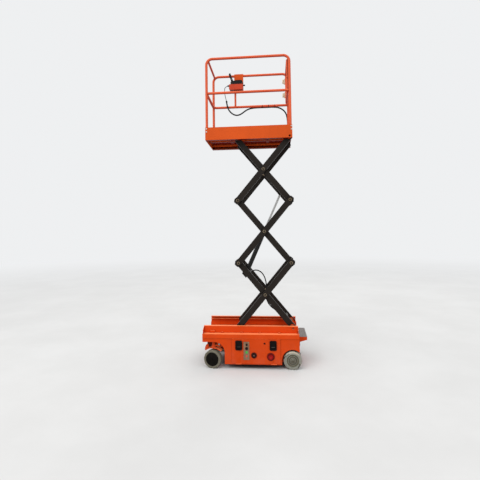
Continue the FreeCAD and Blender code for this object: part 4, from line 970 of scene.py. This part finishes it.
class LIFT_OT_door_trim(bpy.types.Operator):
    """Ridges and screws of the door latches, a grommet, and blank marks and screws on the control plate"""

    bl_idname = "lift.door_trim"
    bl_label = "Door trim"

    def execute(self, context):
        for label, side in (("near", -1), ("far", 1)):
            ridges = [beside(side, x, 0.3898, 0.277) for x in LATCHES]
            screws = [beside(side, x + dx, 0.3918, z) for x in LATCHES for dx in (-0.036, 0.036) for z in (0.243, 0.345)]
            worn = (f"door_{label}", "worn plastic", "black_plastic")
            fitted(f"latch_ridges_{label}", soft_block(0.046, 0.0045, 0.003, 0.001), ridges, *worn)
            fitted(f"latch_screws_{label}", screw_head(0.0028), screws, *worn)
        # Name, pattern, places along the door, out and up, material, slot
        pieces = (
            ("green_mark", soft_disc(0.0155, 0.0008, 0.001), [(-0.05, 0.3839, 0.209)], "green plastic",
             "black_plastic"),
            ("red_mark", soft_disc(0.0125, 0.0008, 0.001), [(-0.05, 0.3839, 0.161)], "pale red plastic",
             "red_plastic"),
            ("grommet", half_ring(0.0105, 0.0022, 24), [(0.176, 0.3808, 0.319)], "dark red plastic", "red_plastic"),
            ("knob_mark", soft_block(0.0022, 0.011, 0.0008, 0.0003), [(-0.049, 0.4008, 0.2625)], "pale plastic",
             "black_plastic"),
            ("key_slot", soft_block(0.0025, 0.013, 0.0008, 0.0003), [(0.042, 0.3948, 0.173)], "black plastic",
             "black_plastic"),
            ("plate_screws", screw_head(0.003), [(x, 0.3838, z) for x in (-0.081, -0.022) for z in (0.123, 0.332)],
             "zinc plate", "zinc"),
            ("toggle_nut", hex_bolt(0.0115, 0.003, 1.2), [(-0.048, 0.3885, 0.304)], "black plastic",
             "black_plastic"),
        )
        for name, pattern, places, material, slot in pieces:
            fitted(name, pattern, [beside(-1, *place) for place in places], "door_near", material, slot)
        return {"FINISHED"}


class LIFT_OT_cord_ends(bpy.types.Operator):
    """Crimped sleeves on the hose, a strain relief at the control box and the conduit's collar"""

    bl_idname = "lift.cord_ends"
    bl_label = "Cord ends"

    def execute(self, context):
        arm = inner_frame(1)
        turn = arm.to_3x3()
        gland = on_chassis(*RAIL_CABLE[-1]) + Vector((0, 0, 0.0002))
        # Name, radius, length, start, direction, then body, material and slot
        ends = (
            ("hose_sleeve_low", 0.0088, 0.028, arm @ Vector(HOSE[-1]), turn @ Vector((1, 0, 0)), ARM_STEEL),
            ("hose_sleeve_high", 0.0088, 0.03, arm @ Vector(HOSE[0]), turn @ Vector((0, 0, -1)), ARM_STEEL),
            ("strain_relief", 0.0072, 0.02, on_chassis(*BOX_CABLE[0]), (-1, 0, 0), CAGE_BLACK),
            ("conduit_collar", 0.0122, 0.022, on_chassis(*RAIL_CABLE[0]), (0.16, 0, -1), CAGE_BLACK),
            ("gland_nut", 0.0125, 0.012, gland, (0, 0, 1), CAGE_BLACK),
        )
        for name, radius, length, start, direction, kind in ends:
            fitted(name, banded_sleeve(radius, length), [facing(direction, start)], *kind)
        return {"FINISHED"}


class LIFT_OT_control_trim(bpy.types.Operator):
    """Bellows round the joystick, its trigger, screws in the control box and rings on its connector"""

    bl_idname = "lift.control_trim"
    bl_label = "Control trim"

    def execute(self, context):
        side = BOX_SIDE
        folds = []
        for n, size in enumerate((1.0, 0.86, 0.72, 0.6)):
            place = Matrix.Translation(on_chassis(-0.253 - 0.004 * n, side, 3.921 + 0.007 * n))
            folds.append(place @ Matrix.Rotation(-0.3, 4, "Y") @ Matrix.Scale(size, 4))
        fold = added(bpy.ops.mesh.primitive_torus_add, major_radius=0.017, minor_radius=0.0055,
                     major_segments=32, minor_segments=8)
        fold.scale = (1, 1, 0.7)
        fitted("bellows", settled(fold), folds, *CAGE_BLACK)
        place = beside(-1, -0.2755, -side - 0.008, 3.9775) @ Matrix.Rotation(math.radians(20), 4, "Z")
        fitted("trigger", soft_block(0.0075, 0.05, 0.016, 0.0025), [place], *CAGE_BLACK)
        screws = [beside(-1, x, 0.0268 - side, 3.882) for x in (-0.27, -0.115)]
        screws += [beside(-1, x, 0.0318 - side, z) for x in (-0.288, -0.112) for z in (3.815, 3.858)]
        fitted("box_screws", screw_head(0.0032), screws, "platform", "zinc plate", "zinc")
        rings = [facing((1, 0, 0), on_chassis(x, side, 3.856)) for x in (-0.094, -0.086, -0.078)]
        fitted("connector_rings", half_ring(0.0102, 0.0016, 24), rings, *CAGE_BLACK)
        return {"FINISHED"}


class LIFT_OT_welds(bpy.types.Operator):
    """Weld beads where guardrail tubes meet"""

    bl_idname = "lift.welds"
    bl_label = "Welds"

    def execute(self, context):
        tube, slim, bar, bend = 0.017, 0.014, -0.217, 0.08
        spots = []
        for side in SIDES:
            for x, way in ((FRONT_POST, 1), (REAR_POST, -1)):
                if side < 0 or way < 0:
                    spots.append(facing((way, 0, 0), on_chassis(x + way * tube, side * POST_SIDE, MID_RAIL)))
        spots.append(facing((0, 1, 0), on_chassis(FRONT_POST, -POST_SIDE + tube, MID_RAIL)))
        fitted("rail_welds", half_ring(tube + 0.001, 0.003, 32), spots, *CAGE_RAIL)
        spots = [facing((0, 0, 1), on_chassis(bar, POST_SIDE, MID_RAIL + tube)),
                 facing((0, 0, -1), on_chassis(bar, POST_SIDE, TOP_RAIL - tube))]
        at_bend = bend * (1 - math.sqrt(0.5))
        for side in SIDES:
            corner = on_chassis(FRONT_POST + at_bend, side * (POST_SIDE - tube), TOP_RAIL - at_bend)
            spots.append(facing((0, -side, 0), corner))
        fitted("bar_welds", half_ring(slim + 0.001, 0.0028, 32), spots, *CAGE_RAIL)
        return {"FINISHED"}


class LIFT_OT_gate_latch(bpy.types.Operator):
    """The gate's slide bolt and its keeper on the near post, and screwed ears on the hinges"""

    bl_idname = "lift.gate_latch"
    bl_label = "Gate latch"

    def execute(self, context):
        ears = [(0.487, -0.3, z) for z in GATE_HINGES]
        screws = [(0.484, -0.296, z + dz) for z in GATE_HINGES for dz in (-0.02, 0.02)]
        # Name, pattern, places along, towards the viewer and up, then body, material and slot
        pieces = (
            ("latch_keeper", soft_block(0.02, 0.04, 0.005, 0.0015), [(0.526, 0.2845, GATE_BOLT)], CAGE_RAIL),
            ("keeper_arm", soft_block(0.03, 0.012, 0.004, 0.001), [(0.537, 0.2805, GATE_BOLT)], CAGE_RAIL),
            ("gate_bolt", soft_disc(0.0055, 0.022, 0.0015), [(0.523, 0.26, GATE_BOLT)],
             ("gate", "bright steel", "zinc")),
            ("hinge_ears", soft_block(0.026, 0.062, 0.004, 0.0015), ears, ("platform", "hinge plate", "zinc")),
            ("hinge_screws", screw_head(0.0035), screws, ("platform", "zinc plate", "zinc")),
        )
        for name, pattern, places, kind in pieces:
            fitted(name, pattern, [beside(-1, *place) for place in places], *kind)
        return {"FINISHED"}


class LIFT_OT_end_fittings(bpy.types.Operator):
    """Charger inlet, blank plates and tie-down rings on the end walls, and guards behind the front arches"""

    bl_idname = "lift.end_fittings"
    bl_label = "End fittings"

    def execute(self, context):
        # End, place across and height of the two blank plates
        plates = ((1, 0.3, 0.3), (-1, 0, 0.355))
        screws = [at_end(end, y + dy, z, END_WALL + 0.0015) for end, y, z in plates for dy in (-0.029, 0.029)]
        feet = [at_end(end, side * y, z) for end, y, z in ((1, 0.19, 0.14), (-1, 0.25, 0.355)) for side in SIDES]
        rings = [foot @ Matrix.Rotation(math.pi / 2, 4, "Y") for foot in feet]
        guards = [beside(side, -0.518, 0.183, 0.2875) for side in SIDES]
        # Name, pattern, places, material, slot
        pieces = (
            ("charger_cap", soft_disc(0.032, 0.014, 0.005, 32), [at_end(1, -0.3, 0.3)], "black plastic",
             "black_plastic"),
            ("blank_plates", soft_block(0.07, 0.03, 0.0015, 0.0005), [at_end(*plate) for plate in plates],
             "silver plate", "silver_plate"),
            ("plate_rivets", screw_head(0.0028), screws, "zinc plate", "zinc"),
            ("tie_down_rings", half_ring(0.016, 0.004, 32), rings, "dull steel", "steel"),
            ("tie_down_feet", soft_block(0.03, 0.046, 0.004, 0.001), feet, "chassis paint", "orange_paint"),
            # The arch guards' dark primer is painted shade inside the front arches.
            ("arch_guards", soft_block(0.124, 0.173, 0.006, 0.002), guards, "primer", "orange_paint"),
        )
        for name, pattern, places, material, slot in pieces:
            fitted(name, pattern, places, "chassis", material, slot)
        return {"FINISHED"}


# Panel and run

# In the order in which they run
OPERATORS = (
    LIFT_OT_finishes, LIFT_OT_stage, LIFT_OT_cords, LIFT_OT_pin_bolts, LIFT_OT_platform_bolts, LIFT_OT_treads,
    LIFT_OT_wheel_trim, LIFT_OT_door_trim, LIFT_OT_cord_ends, LIFT_OT_control_trim, LIFT_OT_welds,
    LIFT_OT_gate_latch, LIFT_OT_end_fittings,
)


class LIFT_PT_panel(bpy.types.Panel):
    """Lists the settings and the steps"""

    bl_idname = "LIFT_PT_panel"
    bl_label = "Scissor lift"
    bl_space_type = "VIEW_3D"
    bl_region_type = "UI"
    bl_category = "Scissor Lift"

    def draw(self, context):
        settings = context.scene.scissor_lift
        for name in LiftSettings.__annotations__:
            self.layout.prop(settings, name)
        for operator in OPERATORS:
            self.layout.operator(operator.bl_idname)


CLASSES = (LiftSettings,) + OPERATORS + (LIFT_PT_panel,)


def register():
    """Registers the classes and the settings."""
    for item in CLASSES:
        bpy.utils.register_class(item)
    bpy.types.Scene.scissor_lift = PointerProperty(type=LiftSettings)


def unregister():
    """Takes the settings and the classes away again."""
    del bpy.types.Scene.scissor_lift
    for item in reversed(CLASSES):
        bpy.utils.unregister_class(item)


def main():
    """Makes everything in order."""
    register()
    for operator in OPERATORS:
        getattr(bpy.ops.lift, operator.bl_idname.split(".")[1])()


if __name__ == "__main__":
    main()
